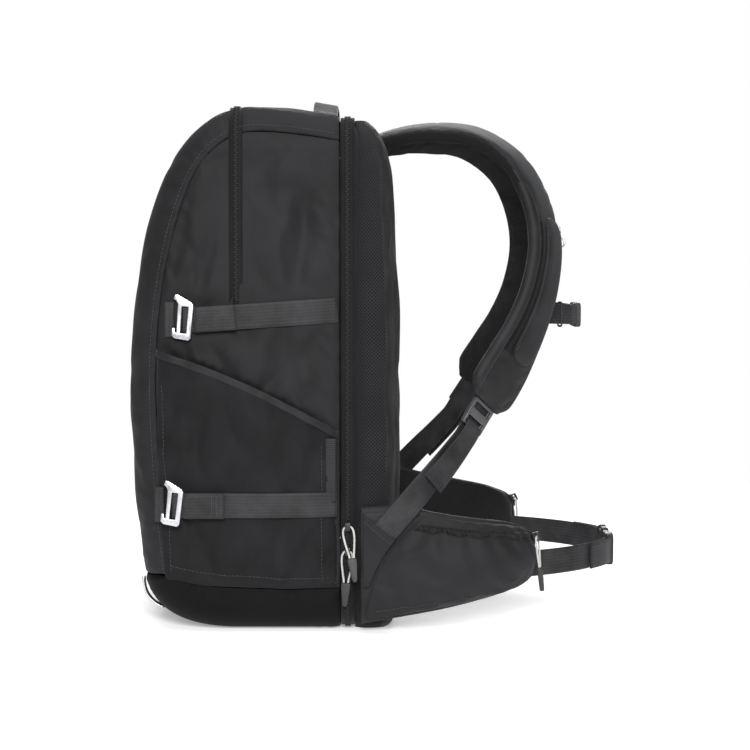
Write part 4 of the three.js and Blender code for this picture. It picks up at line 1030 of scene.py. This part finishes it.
# A flat bar up the front, bowed off it by half a sine
def frontHook(side, hand):
    x, z, ox, oz = outlineAt(np.linspace(lashHook["fromShare"], lashHook["toShare"], 24))
    lift = lashHook["seat"] + lashHook["thickness"] / 2 + lashHook["bow"] * np.sin(np.linspace(0, np.pi, 24))
    crown = frontCrown(ox, lashHook["acrossY"])
    path = vec(x + ox * lift - crown, hand * lashHook["acrossY"], z + oz * lift)
    addBand(
        f"lash_hook_{side}_cast", path, wayY, lashHook["width"], lashHook["thickness"],
        solids["anodised_aluminium"], [f"lash_hook_{side}"])


for side, hand in hands:
    for level, row in sideStrapRows.items():
        sideStrap(level, row, side, hand)
    frontHook(side, hand)

# Back panel. Each row is its height, half width and rear face.
backRows = [
    (0, 128, 121), (10, 138, 125), (40, 142.8, 127), (170, 142.8, 130), (290, 142.8, 130), (370, 142, 127),
    (439, 140, 124), (465, 136, 118), (484, 128, 110), (496, 112, 99)]
# Half of its section, from the side to the channel, as shares of half width and depth
backSection = np.array([
    (0.96, 0), (1, 0.3), (0.985, 0.7), (0.93, 0.93), (0.8, 1), (0.3, 1), (0.2, 0.93), (0.13, 0.79)])
backPanel = {
    "frontX": 89, "quilt": (60, 90), "quiltHigh": 0.8, "quiltFrom": 0.3, "quiltFull": 0.5, "sewnBelow": 0.8,
    "boundOut": 0.9, "boundRear": 0.68, "soft": 0.7}
backLook = {"pressure": 2.0, "slack": 0.01, "stiff": 2.0, "frames": 16, "cap": 2}


# Two upright pads with a channel between them: a smooth section, scaled at each height, with quilted waves at
# the rear. It is faced with mesh and bound at its rear edge.
def backPanelPad():
    table = np.concatenate([backSection * [-1, 1], backSection[::-1]])
    section = smoothRows(table, np.linspace(0, 1, 96))
    z, half, rear = np.moveaxis(smoothRows(backRows, np.linspace(0, 1, 90)), 1, 0)
    depth = (rear - backPanel["frontX"])[:, None]
    points = vec(backPanel["frontX"] + depth * section[:, 1], half[:, None] * section[:, 0], z[:, None])
    quilt = softWaves(points[..., 1], points[..., 2], *backPanel["quilt"], 53) * backPanel["quiltHigh"]
    full = backPanel["quiltFull"]
    points[..., 0] += quilt * np.clip(section[:, 1] - backPanel["quiltFrom"], 0, full) / full
    pinned = np.zeros(points.shape[:2], bool)
    pinned[[0, -1]] = True
    pinned[:, section[:, 1] < backPanel["sewnBelow"]] = True
    points = settleCloth("back_settle", points, pinned, backLook, wrap=True, caps=True)
    piece = addTube("back_panel_pad", points, cloths["spacer_mesh"], ["back_panel"])
    mesh = piece.data
    mesh.materials.append(cloths["strap_nylon"])
    column = np.arange(len(mesh.polygons)) % len(section)
    bound = (np.abs(section[:, 0]) > backPanel["boundOut"]) & (section[:, 1] > backPanel["boundRear"])
    mesh.polygons.foreach_set("material_index", bound[column].astype(np.int32))


backPanelPad()
print("straps, hooks and back panel done")

# Shoulder straps. Each row is x, y, z of the middle line, width, thickness and roll.
padRows = [
    (100, 50, 475, 60, 12, 4), (129, 54, 484, 64, 13, 8), (167, 62, 488, 68, 14, 10),
    (208, 69, 483, 70, 14, 13), (245, 75, 459, 70, 14, 17), (267, 80, 422, 70, 14, 21),
    (276, 84, 378, 70, 14, 24), (271, 88, 332, 70, 14, 29), (257, 94, 291, 70, 14, 35),
    (240, 103, 258, 70, 13, 42), (224, 111.5, 232, 66, 11, 46), (216.5, 115, 220, 44, 8, 47)]
overlay = {
    "width": 40, "thickness": 7, "from": 0.5, "to": 0.808, "lift": 0.6, "squareEnds": 10, "soft": 0.7,
    "stitchAt": 0.42, "stitchLift": 6.0}
# A dark mesh strip along the overlay's outer edge: painted shade for the groove between the overlay and the
# edge roll
overlayShadeStrip = {"across": 22.5, "width": 9, "thickness": 3, "lift": 0.6, "inset": 0.006}
edgeRoll = {"radius": 6.4, "from": 0.4, "to": 0.97, "fade": 0.06, "in": 3.5, "up": 1.5}
# How far up the pad's thickness its mesh lining wraps, from the middle, at shares of its length
padLining = {"share": (0.3, 0.5), "reach": (0.44, 0.0)}
padLook = {
    "pressure": 4.0, "slack": 0.01, "stiff": 1.5, "frames": 18, "cap": 1.5, "sewnOut": 0.46, "soft": 0.8}
lock = {"length": 28, "bar": 3.2, "thickness": 4, "gap": 0.6, "edge": 0.8}
lockTongue = {"width": 30, "from": -6, "to": 26, "under": 1.6}
loadWebbing = {
    "width": 25, "thickness": 1.8, "tail": 74, "clear": 0.8, "straight": 16, "tack": 9, "tackFrom": 3,
    "tackTo": 14, "tackLift": 0.9}
# Each row is x, y, z and roll
loadRows = [
    (115, 160.2, 96, 90), (129, 161, 113, 88), (141, 161.3, 127, 87), (157, 152, 145, 72),
    (175, 137, 165, 58)]
sternumRows = [(274, 70, 307), (292, 54, 306), (308, 38, 305), (316.5, 20, 304)]
sternumWeb = {"width": 20, "thickness": 1.6}


# The way across a strap, from its outer to its inner edge, rolled out of level about its tangent
def strapAcross(tangent, roll, hand):
    flat = unit(tangent * [1, 0, 1])
    arch = vec(-flat[:, 2], 0, flat[:, 0])
    roll = np.radians(roll)[:, None]
    across = np.cos(roll) * [0, -hand, 0] + np.sin(roll) * arch
    return unit(across - tangent * along(across, tangent))


# The strap's line at shares of its length, its ways along, across and out, and its width and thickness there
def padAt(share, hand):
    rows = smoothRows(padRows, share)
    tangent = unit(mirrored(slopeRows(padRows, share)[:, :3], hand))
    across = strapAcross(tangent, rows[:, 5], hand)
    out = np.cross(across, tangent)
    out = out * np.sign(along(out, vec(-tangent[:, 2], 0, tangent[:, 0])))
    return mirrored(rows[:, :3], hand), tangent, across, out, rows[:, 3:4, None], rows[:, 4:5, None]


# A padded strip: at each place the section times a width and a thickness, drawn in at its ends and raised
# along the way out
def padStrip(at, across, out, section, wide, deep, rise=0.0, ends=1.0):
    sideways = section[None, :, :1] * wide * ends * across[:, None]
    return at[:, None] + sideways + (section[None, :, 1:] * deep * ends + rise) * out[:, None]


# The strap's pad: a puffed section whose cloth settles between its edges, with mesh on its inner face
def strapPad(side, hand):
    share = np.linspace(0, 1, 130)
    section = puffSection(1, 1, 4.0, 48)
    at, _, across, out, wide, deep = padAt(share, hand)
    points = padStrip(at, across, out, section, wide, deep)
    pinned = np.zeros(points.shape[:2], bool)
    pinned[[0, -1]] = True
    pinned[:, np.abs(section[:, 0]) > padLook["sewnOut"]] = True
    points = settleCloth("strap_settle", points, pinned, padLook, wrap=True, caps=True)
    piece = addTube(
        f"shoulder_pad_{side}_cover", points, cloths["strap_nylon"], [f"shoulder_pad_{side}"])
    piece.data.materials.append(cloths["lining_mesh"])
    reach = np.interp(share[:-1], padLining["share"], padLining["reach"])
    inner = np.append((section[:, 1] < reach[:, None]).ravel(), [False, False])
    piece.data.polygons.foreach_set("material_index", inner.astype(np.int32))


# A round roll along the strap's outer edge: its radius falls off by a square root at both ends
def strapEdge(side, hand):
    share = np.linspace(edgeRoll["from"], edgeRoll["to"], 100)
    at, _, across, out, wide, _ = padAt(share, hand)
    line = at - across * (wide[:, 0] / 2 - edgeRoll["in"]) + out * edgeRoll["up"]
    circle = puffSection(2 * edgeRoll["radius"], 2 * edgeRoll["radius"], 2.0, 16)
    toEnd = np.minimum(share - edgeRoll["from"], edgeRoll["to"] - share)
    fade = np.sqrt(np.clip(toEnd / edgeRoll["fade"], 0.02, 1))[:, None, None]
    tube = line[:, None] + fade * (circle[None, :, :1] * across[:, None] + circle[None, :, 1:] * out[:, None])
    addTube(f"strap_edge_{side}", tube, cloths["strap_nylon"])


# A second pad on the strap's outer face, with two rows of stitches and a dark mesh strip along its outer edge
# that is painted shade for the groove beside it, and the ladder-lock at the strap's end
def strapOverlay(side, hand):
    share = np.linspace(overlay["from"], overlay["to"], 60)
    at, _, across, out, _, deep = padAt(share, hand)
    ends = np.clip(1 - np.abs(np.linspace(-1, 1, len(share))) ** overlay["squareEnds"], 0.05, 1) ** 0.5
    ends = ends[:, None, None]
    rise = deep / 2 + overlay["lift"] + overlay["thickness"] * ends / 2
    points = padStrip(
        at, across, out, puffSection(1, 1, 3.0, 36), overlay["width"], overlay["thickness"], rise, ends)
    node = f"strap_overlay_{side}"
    piece = addTube(f"{node}_cover", points, cloths["strap_nylon"], [node])
    at, _, across, out, _, deep = padAt(share[3:-3], hand)
    top = at + out * (deep[:, 0] / 2 + overlay["stitchLift"])
    for edge in (-overlay["stitchAt"], overlay["stitchAt"]):
        stitchRow(top + across * edge * overlay["width"], out)
    # The dark mesh strip by the overlay's outer edge is painted shade for the groove there
    share = np.linspace(overlay["from"] + overlayShadeStrip["inset"], overlay["to"] - overlayShadeStrip["inset"], 60)
    at, _, across, out, _, deep = padAt(share, hand)
    line = at - across * overlayShadeStrip["across"] + out * (deep[:, 0] / 2 + overlayShadeStrip["lift"])
    addBand(
        f"overlay_shade_strip_{side}", line, across, overlayShadeStrip["width"], overlayShadeStrip["thickness"],
        cloths["lining_mesh"])
    node = f"ladder_lock_{side}"
    roundedCopy(node, f"{node}_moulded", solids["moulded_nylon"], lock["edge"])


# A box of stitches with a cross: where its two diagonals and two sides start and end across the strap
def boxedCross(half):
    return (-half, half), (half, -half), (-half, -half), (half, half)


dRing = {"share": 0.545, "radius": 5, "wire": 0.9, "sunk": 4, "across": 0.3}
lockPatch = {"from": 0.885, "to": 0.955, "half": 0.28, "lift": 0.2, "pitch": 3.4}


# A metal D-ring on the strap's face, towards its inner edge: a half circle closed by a straight bar. Then the
# crossed stitches of the patch that holds the ladder-lock.
def strapFittings(side, hand):
    at, tangent, across, out, wide, deep = padAt(np.array([dRing["share"]]), hand)
    angle = np.linspace(-np.pi / 2, np.pi / 2, 24)[:, None]
    high = deep[:, 0] / 2 + overlay["thickness"] - dRing["sunk"]
    seat = at + across * wide[:, 0] * dRing["across"] + out * high
    bow = seat + dRing["radius"] * (np.cos(angle) * out + np.sin(angle) * tangent)
    bow = np.concatenate([bow, evenly(np.stack([bow[-1], bow[0]]), 10)[1:-1]])
    wire = puffSection(2 * dRing["wire"], 2 * dRing["wire"], 2.0, 10)
    tube = carried(bow, unit(bow - bow.mean(0)), across, wire)
    addTube(f"strap_ring_{side}", tube, solids["anodised_aluminium"], loop=True)
    at, _, across, out, wide, deep = padAt(np.linspace(lockPatch["from"], lockPatch["to"], 16), hand)
    top = out * (deep[:, 0] / 2 + lockPatch["lift"])
    for start, end in boxedCross(lockPatch["half"]):
        line = at + across * (np.linspace(start, end, len(at))[:, None] * wide[:, 0]) + top
        stitchRow(line, out, lockPatch["pitch"])


# Load webbing: a smooth curve from the hip belt to the ladder-lock, back round its last bar and tacked at its
# foot; then the tongue that holds the lock, and the chest strap's webbing
def strapWebs(side, hand):
    webbing = cloths["woven_webbing"]
    at, tangent, across, out, _, _ = (value[0] for value in padAt(np.array([1.0]), hand))
    ahead = unit(np.cross(out, across))
    ahead = ahead * np.sign(np.dot(ahead, tangent))
    lastBar = at + tangent * lock["gap"] + ahead * (lock["length"] - lock["bar"] / 2)
    turn = lock["thickness"] / 2 + loadWebbing["clear"] + loadWebbing["thickness"] / 2
    arrive = lastBar - out * turn
    rows = np.array(loadRows, float)
    route = np.vstack([mirrored(rows[:, :3], hand), arrive + ahead * loadWebbing["straight"], arrive])
    share = np.linspace(0, 1, 70)
    rolls = np.append(rows[:, 3], [padRows[-1][5]] * 2)
    roll = np.interp(share * (len(rolls) - 1), np.arange(len(rolls)), rolls)
    path = smoothRows(route, share)
    ways = strapAcross(-unit(slopeRows(route, share)), roll, hand)
    folded = foldedPath(path, out, turn, loadWebbing["tail"])
    bent = foldSteps - 1
    back = ways[::-1][:len(folded) - len(path) - bent]
    ways = np.concatenate([ways, np.repeat(ways[-1:], bent, 0), back])
    addBand(
        f"load_web_{side}_web", folded, ways, loadWebbing["width"], loadWebbing["thickness"], webbing,
        [f"load_web_{side}"])
    sewn = slice(loadWebbing["tackFrom"], loadWebbing["tackTo"])
    _, sideways, up = frameAlong(path[:sewn.stop + 2], ways[:sewn.stop + 2])
    up = up * np.sign(along(up, hand * wayY))
    for start, end in boxedCross(loadWebbing["tack"]):
        place = np.linspace(start, end, sewn.stop - sewn.start)[:, None]
        line = path[sewn] + sideways[sewn] * place + up[sewn] * loadWebbing["tackLift"]
        stitchRow(line, up[sewn], stitch["tackPitch"])
    reach = np.linspace(lockTongue["from"], lockTongue["to"], 20)[:, None]
    tongue = at + ahead * reach - out * (lock["thickness"] / 2 + lockTongue["under"])
    addBand(
        f"lock_web_{side}", tongue, across, lockTongue["width"], loadWebbing["thickness"], webbing)
    path = mirrored(smoothRows(sternumRows, np.linspace(0, 1, 30)), hand)
    addBand(
        f"sternum_web_{side}_web", path, wayZ, sternumWeb["width"], sternumWeb["thickness"], webbing,
        [f"sternum_web_{side}"])


for side, hand in hands:
    for sew in (strapPad, strapEdge, strapOverlay, strapFittings, strapWebs):
        sew(side, hand)
print("shoulder straps done")

sternumClip = {"high": 24, "deep": 6, "wire": 2.2, "share": 0.42}


# A small moulded loop round each chest strap: a round section carried round a rounded rectangle
def sternumClips():
    share = np.array([sternumClip["share"]])
    for side, hand in hands:
        at = mirrored(smoothRows(sternumRows, share), hand)
        heading = unit(mirrored(slopeRows(sternumRows, share), hand))
        out = unit(np.cross(heading, wayZ))
        loop = puffSection(sternumClip["deep"], sternumClip["high"], 5.0, 40)
        path = at + loop[:, :1] * out + loop[:, 1:] * wayZ
        wire = puffSection(sternumClip["wire"], sternumClip["wire"], 2.0, 10)
        tube = carried(path, unit(path - at), heading, wire)
        addTube(f"sternum_clip_{side}", tube, solids["dark_rubber"], loop=True)


sternumClips()

# Hip belt. Each row is x, y of the wing's middle line, its top and foot.
wingRows = [
    (95, 149.2, 122, 9), (133, 151, 124, 16), (171, 150, 117, 23), (205, 143, 111, 30), (235, 131, 106, 37),
    (254, 119, 98, 46), (261, 113.5, 86, 54)]
wing = {"pad": 12, "tip": 0.06, "meshUnder": -0.3, "soft": 0.8}
hipPocket = {
    "wall": 1.5, "clothWall": 1.4, "depth": 22, "fullLong": 0.7, "fullUp": 0.6, "seat": 0.8, "startTop": 0.28,
    "startFoot": 0.02, "end": 0.93, "foot": 0.03, "head": 0.97, "span": (150, 90), "stitchLift": 0.3}
hipFolds = {"lean": 60, "waves": (26, 70), "fade": 15, "lidUp": 0.86, "lidHigh": 1.8, "high": 1.2}
hipLook = {"pressure": 0.6, "slack": 0.015, "stiff": 0.5, "frames": 18, "cap": 3, "sewn": 2}
gusset = {"thickness": 1.6, "seat": 0.6, "foot": 0.32, "head": 0.96, "start": 0.012}
webFacing = {
    "thickness": 1.2, "gap": 0.1, "cover": 5, "lift": 2.6, "fall": 16, "side": 7, "end": 1.05,
    "stitchLift": 0.1}
beltRows = [(246, 124), (262, 113), (290, 97), (318, 75), (338, 51), (347, 34)]
belt = {"z": 61, "width": 26, "thickness": 2, "tail": 46, "fold": 2.4, "turnOut": 0.6}


# The wing's middle line and the way out of it, level, with its top and foot, by share of its rows
def wingAt(share, hand):
    rows = smoothRows(wingRows, share)
    slope = unit(slopeRows(np.array(wingRows)[:, :2], share))
    out = vec(-slope[..., 1], hand * slope[..., 0], 0)
    return vec(rows[..., 0], hand * rows[..., 1], 0), out, rows[..., 2], rows[..., 3]


# Where the hip pocket starts along the wing: further on towards its top, by the square of the share up it
def pocketStart(up):
    return hipPocket["startFoot"] + (hipPocket["startTop"] - hipPocket["startFoot"]) * up ** 2


# A point of the hip pocket: off the wing by its depth times powers of a sine along it and a sine up it
def hipPocketPoint(a, up, lift, hand):
    start = pocketStart(up)
    at, out, top, foot = wingAt(start + (hipPocket["end"] - start) * a, hand)
    full = np.sin(np.pi * np.clip(a, 0, 1)) ** hipPocket["fullLong"]
    full = full * np.sin(np.pi * np.clip(up, 0, 1)) ** hipPocket["fullUp"]
    off = wing["pad"] / 2 + hipPocket["seat"] + hipPocket["depth"] * full + lift
    at = at + out * off[..., None]
    at[..., 2] = foot + (top - foot) * (hipPocket["foot"] + (hipPocket["head"] - hipPocket["foot"]) * up)
    return at


# A point of the gusset: from the wing's start to the pocket's slanted edge, so far off the pad's face
def gussetPoint(a, up, off, hand):
    end = pocketStart(up) - gusset["start"]
    at, out, top, foot = wingAt(gusset["start"] + (end - gusset["start"]) * a, hand)
    points = at + out * (wing["pad"] / 2 + gusset["seat"] + gusset["thickness"] + off)[..., None]
    points[..., 2] = foot + (top - foot) * up
    return points, out


# The wing's pad: a puffed section as high as the wing, drawn in by a square root at its tip, with mesh inside
def hipWing(side, hand):
    share = np.linspace(0, 1, 70)
    at, out, top, foot = wingAt(share, hand)
    section = puffSection(1, 1, 4.5, 44)
    tip = np.sqrt(np.clip((1 - share) / wing["tip"], 0.05, 1))[:, None]
    points = at[:, None] + out[:, None] * (section[:, :1] * wing["pad"] * tip[..., None])
    points[..., 2] = (top + foot)[:, None] / 2 + section[:, 1] * (top - foot)[:, None]
    node = f"hip_wing_{side}"
    piece = addTube(f"{node}_pad", points, cloths["spacer_mesh"], [node])
    piece.data.materials.append(cloths["strap_nylon"])
    outer = np.append(np.tile(section[:, 0] > wing["meshUnder"], len(share) - 1), [True, True])
    piece.data.polygons.foreach_set("material_index", outer.astype(np.int32))


# Pocket on the wing, with slanting waves that are higher on its lid, and a zip along one row of its cloth
def hipPocketAndZip(side, hand):
    up, a = np.meshgrid(np.linspace(0, 1, 44), np.linspace(0, 1, 64), indexing="ij")
    points = hipPocketPoint(a, up, hipPocket["wall"], hand)
    facing = np.array([0.3, hand, 0.0])
    long, high = hipPocket["span"]
    edge = np.minimum(np.minimum(a, 1 - a) * long, np.minimum(up, 1 - up) * high)
    waves = softWaves(a * long + up * hipFolds["lean"], up * high, *hipFolds["waves"], 61)
    fold = waves * inFrom(edge, hipFolds["fade"])
    fold = fold * np.where(up > hipFolds["lidUp"], hipFolds["lidHigh"], hipFolds["high"])
    points = points + wingAt(np.full(1, 0.5), hand)[1] * fold[..., None]
    points = settleCloth("hip_settle", points, edge < hipLook["sewn"], hipLook, facing=facing)
    addSheet(
        f"hip_pocket_{side}_cloth", points, facing, cloths["coated_nylon"],
        hipPocket["clothWall"], [f"hip_pocket_{side}"])
    row = int(round(hipZip["up"] * (len(points) - 1)))
    path, above = (evenly(points[k, 2:-2], 120) for k in (row, row + 1))
    way = unit(above - path)
    out = np.cross(unit(np.gradient(path, axis=0)), way)
    out = out * np.sign(along(out, facing))
    line = path + out * hipZip["lift"]
    tape = carried(line, way, out, zipSection(hipZip["width"], hipZip["wall"]))
    addTube(f"hip_zip_{side}_tape", tape, cloths["zip_tape"], [f"hip_zip_{side}"])
    zipTeeth(f"hip_zip_{side}_teeth", line, way, out)
    stitchRow(points[3, 3:-3] + facing * hipPocket["stitchLift"], facing)


# The gusset before the pocket, and the belt's webbing: a smooth curve, folded back at its buckle
def hipGussetAndBelt(side, hand):
    up, a = np.meshgrid(np.linspace(gusset["foot"], gusset["head"], 24), np.linspace(0, 1, 20), indexing="ij")
    points, out = gussetPoint(a, up, 0 * a, hand)
    addSheet(
        f"hip_gusset_{side}_cloth", points, out, cloths["strap_nylon"], gusset["thickness"],
        [f"hip_gusset_{side}"], finer=False)
    flat = smoothRows(beltRows, np.linspace(0, 1, 60))
    path = vec(flat[:, 0], hand * flat[:, 1], belt["z"])
    folded = foldedPath(path, np.array([1.0, hand * belt["turnOut"], 0]), belt["fold"], belt["tail"])
    addBand(
        f"belt_web_{side}_web", folded, wayZ, belt["width"], belt["thickness"], cloths["woven_webbing"],
        [f"belt_web_{side}"])


# A cloth triangle sewn over the gusset, which covers the load web's foot: its upper edge runs square across
# the web, and it lifts over the web and falls off smoothly below and beside it
def webFoot(side, hand):
    rows = mirrored(np.array(loadRows, float)[:2, :3], hand)
    heading = unit((rows[1] - rows[0]) * [1, 0, 1])
    aside = np.array([-heading[2], 0, heading[0]])
    over = rows[0] + heading * webFacing["cover"]
    shares = np.linspace(0, webFacing["end"], 36)
    up, a = np.meshgrid(np.linspace(gusset["foot"], gusset["head"], 160), shares, indexing="ij")
    past = along(gussetPoint(a, up, 0 * a, hand)[0] - over, heading)[..., 0] > 0
    head = np.where(past.any(0), up[past.argmax(0), 0], gusset["head"])
    up = gusset["foot"] + (head - gusset["foot"]) * np.linspace(0, 1, 44)[:, None]
    a = np.broadcast_to(shares, up.shape)
    flat, out = gussetPoint(a, up, 0 * a, hand)
    below = 1 - (-along(flat - over, heading)[..., 0] - webFacing["cover"]) / webFacing["fall"]
    beside = 1 - (np.abs(along(flat - over, aside)[..., 0]) - loadWebbing["width"] / 2) / webFacing["side"]
    raised = np.clip(below, 0, 1) * np.clip(beside, 0, 1)
    raised = raised ** 2 * (3 - 2 * raised)
    off = webFacing["thickness"] + webFacing["gap"] + webFacing["lift"] * raised
    points, out = gussetPoint(a, up, off, hand)
    addSheet(
        f"web_facing_{side}", points, out, cloths["coated_nylon"], webFacing["thickness"],
        finer=False)
    stitchRow(points[-5] + out[-5] * webFacing["stitchLift"], out[-5])


for side, hand in hands:
    for sew in (hipWing, hipPocketAndZip, hipGussetAndBelt, webFoot):
        sew(side, hand)

# Side-release buckles across the bag. Each row of a limb is its y, its place above the middle, its height
# and its depth.
buckleLimbs = {
    "belt_buckle_plug": {"x": 352, "z": 61, "limbs": [
        [(-31, 0, 30, 7), (-29, 0, 33, 9), (-16, 0, 33, 9), (-11, 0, 31, 8)],
        [(-12, 11, 7, 6), (-4, 11.5, 6, 6), (3.6, 12, 6, 5.5)],
        [(-12, -11, 7, 6), (-4, -11.5, 6, 6), (3.6, -12, 6, 5.5)],
        [(-12, 0, 8, 5), (3.6, 0, 7, 5)]]},
    "belt_buckle_socket": {"x": 352, "z": 61, "limbs": [
        [(4, 0, 32, 8), (6, 0, 33, 9), (12, 0, 27, 9), (20, 0, 27, 9), (25, 0, 33, 9), (29, 0, 33, 9),
         (31, 0, 30, 7)],
        [(7, 14.5, 3, 5), (14, 14.6, 4, 5.5), (21, 14.2, 3, 5)],
        [(7, -14.5, 3, 5), (14, -14.6, 4, 5.5), (21, -14.2, 3, 5)]]},
    "sternum_buckle": {"x": 318, "z": 304, "limbs": [
        [(-19, 0, 22, 6), (-17, 0, 25, 8), (-10, 0, 25, 8), (-7, 0, 23, 7)],
        [(-8, 8.5, 5, 5), (2, 9, 4.5, 5)], [(-8, -8.5, 5, 5), (2, -9, 4.5, 5)], [(-8, 0, 6, 4), (2, 0, 6, 4)],
        [(1, 0, 24, 7), (3, 0, 25, 8), (8, 0, 21, 8), (13, 0, 21, 8), (16, 0, 25, 8), (19, 0, 22, 6)]]},
}


# A limb is the rounded block through its rows: a square-set section scaled along a smooth curve
def buckles():
    section = puffSection(1, 1, 6.0, 36)
    for node, buckle in buckleLimbs.items():
        for count, limb in enumerate(buckle["limbs"]):
            y, up, high, deep = np.moveaxis(smoothRows(limb, np.linspace(0, 1, 28)), 1, 0)[..., None]
            points = vec(buckle["x"] + section[:, 0] * deep, y, buckle["z"] + up + section[:, 1] * high)
            addTube(f"{node}_{count}", points, solids["moulded_acetal"], [node])


buckles()
print("hip belt done")

# Zip pulls: each cord goes through its slider's eye, so two strands hang from there to the grip
pullRows = [(0, 0), (3.2, -0.9), (4.9, -4), (5.2, -9), (4.6, -15), (3.6, -21), (2.5, -27), (2.1, -30.5)]
pull = {"cord": 2.0, "eyeOut": 3.5, "sliderEdge": 0.5, "gripEdge": 0.8}
mainPulls = {
    "main_{}_upper": {"place": (82, -148.3, 104), "out": (0, -1, 0), "lean": 8, "lift": 14},
    "main_{}_lower": {"place": (82, -148.3, 80), "out": (0, -1, 0), "lean": -3, "lift": 1},
}
hipPull = {"along": 0.86, "up": 0.87, "step": 0.02, "off": 2.0, "lift": 6}


# Seat of a hip zip's slider: a point of the pocket, with the way square to two small steps along and up it
def hipPullSeat(hand):
    a, up, step = hipPull["along"], hipPull["up"], hipPull["step"]
    lift = hipPocket["wall"] + hipPull["off"]
    spots = hipPocketPoint(np.array([a, a + step, a]), np.array([up, up, up + step]), lift, hand)
    out = unit(np.cross(spots[1] - spots[0], spots[2] - spots[0])) * -hand
    return {"place": spots[0], "out": out, "lean": 0, "lift": hipPull["lift"]}


# Turn about Z to face the slider's way out, lifted about X and leaned about Y
def pullTurn(out, lean, lift):
    z, x, y = math.atan2(out[0], -out[1]), -math.radians(lift), -math.radians(lean)
    aboutZ = np.array([(math.cos(z), -math.sin(z), 0), (math.sin(z), math.cos(z), 0), (0, 0, 1)])
    aboutX = np.array([(1, 0, 0), (0, math.cos(x), -math.sin(x)), (0, math.sin(x), math.cos(x))])
    aboutY = np.array([(math.cos(y), 0, math.sin(y)), (0, 1, 0), (-math.sin(y), 0, math.cos(y))])
    return aboutZ @ aboutX @ aboutY


# Slider and grip with rounded edges, and two strands of cord: a smooth curve and its mirror image, turned
def zipPull(pattern, seat):
    out = np.asarray(seat["out"], float)
    eye = np.asarray(seat["place"], float) + out * pull["eyeOut"]
    turn = pullTurn(out, seat["lean"], seat["lift"])
    slider, gripNode, cordNode = (pattern.format(kind) for kind in ("slider", "pull_grip", "pull_cord"))
    roundedCopy(slider, f"{slider}_cast", solids["moulded_acetal"], pull["sliderEdge"])
    rubber = solids["dark_rubber"]
    grip = roundedCopy(gripNode, f"{gripNode}_moulded", rubber, pull["gripEdge"])
    half = smoothRows(pullRows, np.linspace(0, 1, 48))
    for strand, hand in (("a", 1), ("b", -1)):
        path = eye + vec(hand * half[:, 0], 0, half[:, 1]) @ turn.T
        _, across, up = frameAlong(path, turn[:, 1])
        tube = carried(path, across, up, puffSection(pull["cord"], pull["cord"], 2.0, 12))
        piece = addTube(f"{cordNode}_{strand}", tube, cloths["braided_cord"], [cordNode])


for pattern, seat in mainPulls.items():
    zipPull(pattern, seat)
for side, hand in hands:
    zipPull("hip_{}_" + side, hipPullSeat(hand))

# Stitches: all rows joined in one piece
rod = np.array([(x, math.cos(a), math.sin(a)) for x in (-1, 1) for a in np.radians([45, 135, 225, 315])])
rodFaces = np.array([(0, 1, 5, 4), (1, 2, 6, 5), (2, 3, 7, 6), (3, 0, 4, 7), (3, 2, 1, 0), (4, 5, 6, 7)])
stitches = scatterMesh(
    "seam_stitches", rod, rodFaces, np.concatenate(stitchPlaces), np.concatenate(stitchAxes))
addPiece("seam_stitches", stitches, cloths["spun_thread"])
print("stitches:", sum(len(places) for places in stitchPlaces))

# Light: a white room that is dimmer than it looks, a wide soft box overhead and one on each side. The boxes
# and the floor's fade are in metres, the floor's own size in millimetres.
studio = {
    "room": 0.3, "floorHalf": 1500, "floorZ": -0.5, "floorGlow": 0.3, "floorSolid": 0.45, "floorGone": 1.2}
softBoxes = {
    "overhead": {"place": (0.1, -0.3, 2.2), "aim": (0.05, 0.0, 0.2), "size": 1.8, "power": 26},
    "front": {"place": (0.1, -2.2, 1.1), "aim": (0.05, 0.0, 0.25), "size": 0.8, "power": 62},
    "rear": {"place": (0.2, 2.2, 1.2), "aim": (0.05, 0.0, 0.25), "size": 1.4, "power": 32},
}


# A square lamp tilted from straight down, then turned about Z, until it faces its aim
def softBox(name, box):
    lamp = bpy.data.objects.new(name, bpy.data.lights.new(name, "AREA"))
    lamp.data.energy = box["power"]
    lamp.data.size = box["size"]
    lamp.location = box["place"]
    x, y, z = np.array(box["aim"]) - np.array(box["place"])
    lamp.rotation_euler = (math.atan2(math.hypot(x, y), -z), 0, math.atan2(y, x) - math.pi / 2)
    scene.collection.objects.link(lamp)


# The room looks white behind the bag and lights it by the room's own share; the floor fades into it
def lightStudio():
    world = bpy.data.worlds.new("studio")
    world.use_nodes = True
    backdrop = world.node_tree.nodes["Background"]
    seen = addNode(world.node_tree, "ShaderNodeLightPath").outputs["Is Camera Ray"]
    strength = addNode(world.node_tree, "ShaderNodeMath", {
        0: seen, 1: 1 - studio["room"], 2: studio["room"]}, operation="MULTIPLY_ADD")
    backdrop.inputs["Color"].default_value = (1, 1, 1, 1)
    world.node_tree.links.new(strength.outputs["Value"], backdrop.inputs["Strength"])
    scene.world = world
    scene.view_settings.view_transform = "Standard"
    for name, box in softBoxes.items():
        softBox(name, box)
    material, tree = newMaterial("white_paper")
    spot = addNode(tree, "ShaderNodeTexCoord").outputs["Object"]
    away = addNode(tree, "ShaderNodeVectorMath", {0: spot}, operation="LENGTH").outputs["Value"]
    solid = addNode(tree, "ShaderNodeMapRange", {
        "Value": away, "From Min": studio["floorSolid"], "From Max": studio["floorGone"], "To Min": 1.0,
        "To Max": 0.0}, interpolation_type="SMOOTHSTEP")
    finishMaterial(material, {
        "Base Color": hexColor("#fbfbfb"), "Roughness": 0.9, "Emission Color": (1, 1, 1, 1),
        "Emission Strength": studio["floorGlow"], "Alpha": solid.outputs["Result"]})
    half, level = studio["floorHalf"], studio["floorZ"]
    flat = np.array([[(x, y, level) for x in (-half, half)] for y in (-half, half)])
    floor = bpy.data.objects.new("floor", gridMesh("floor", flat, facing=wayZ))
    floor.data.materials.append(material)
    scene.collection.objects.link(floor)


lightStudio()
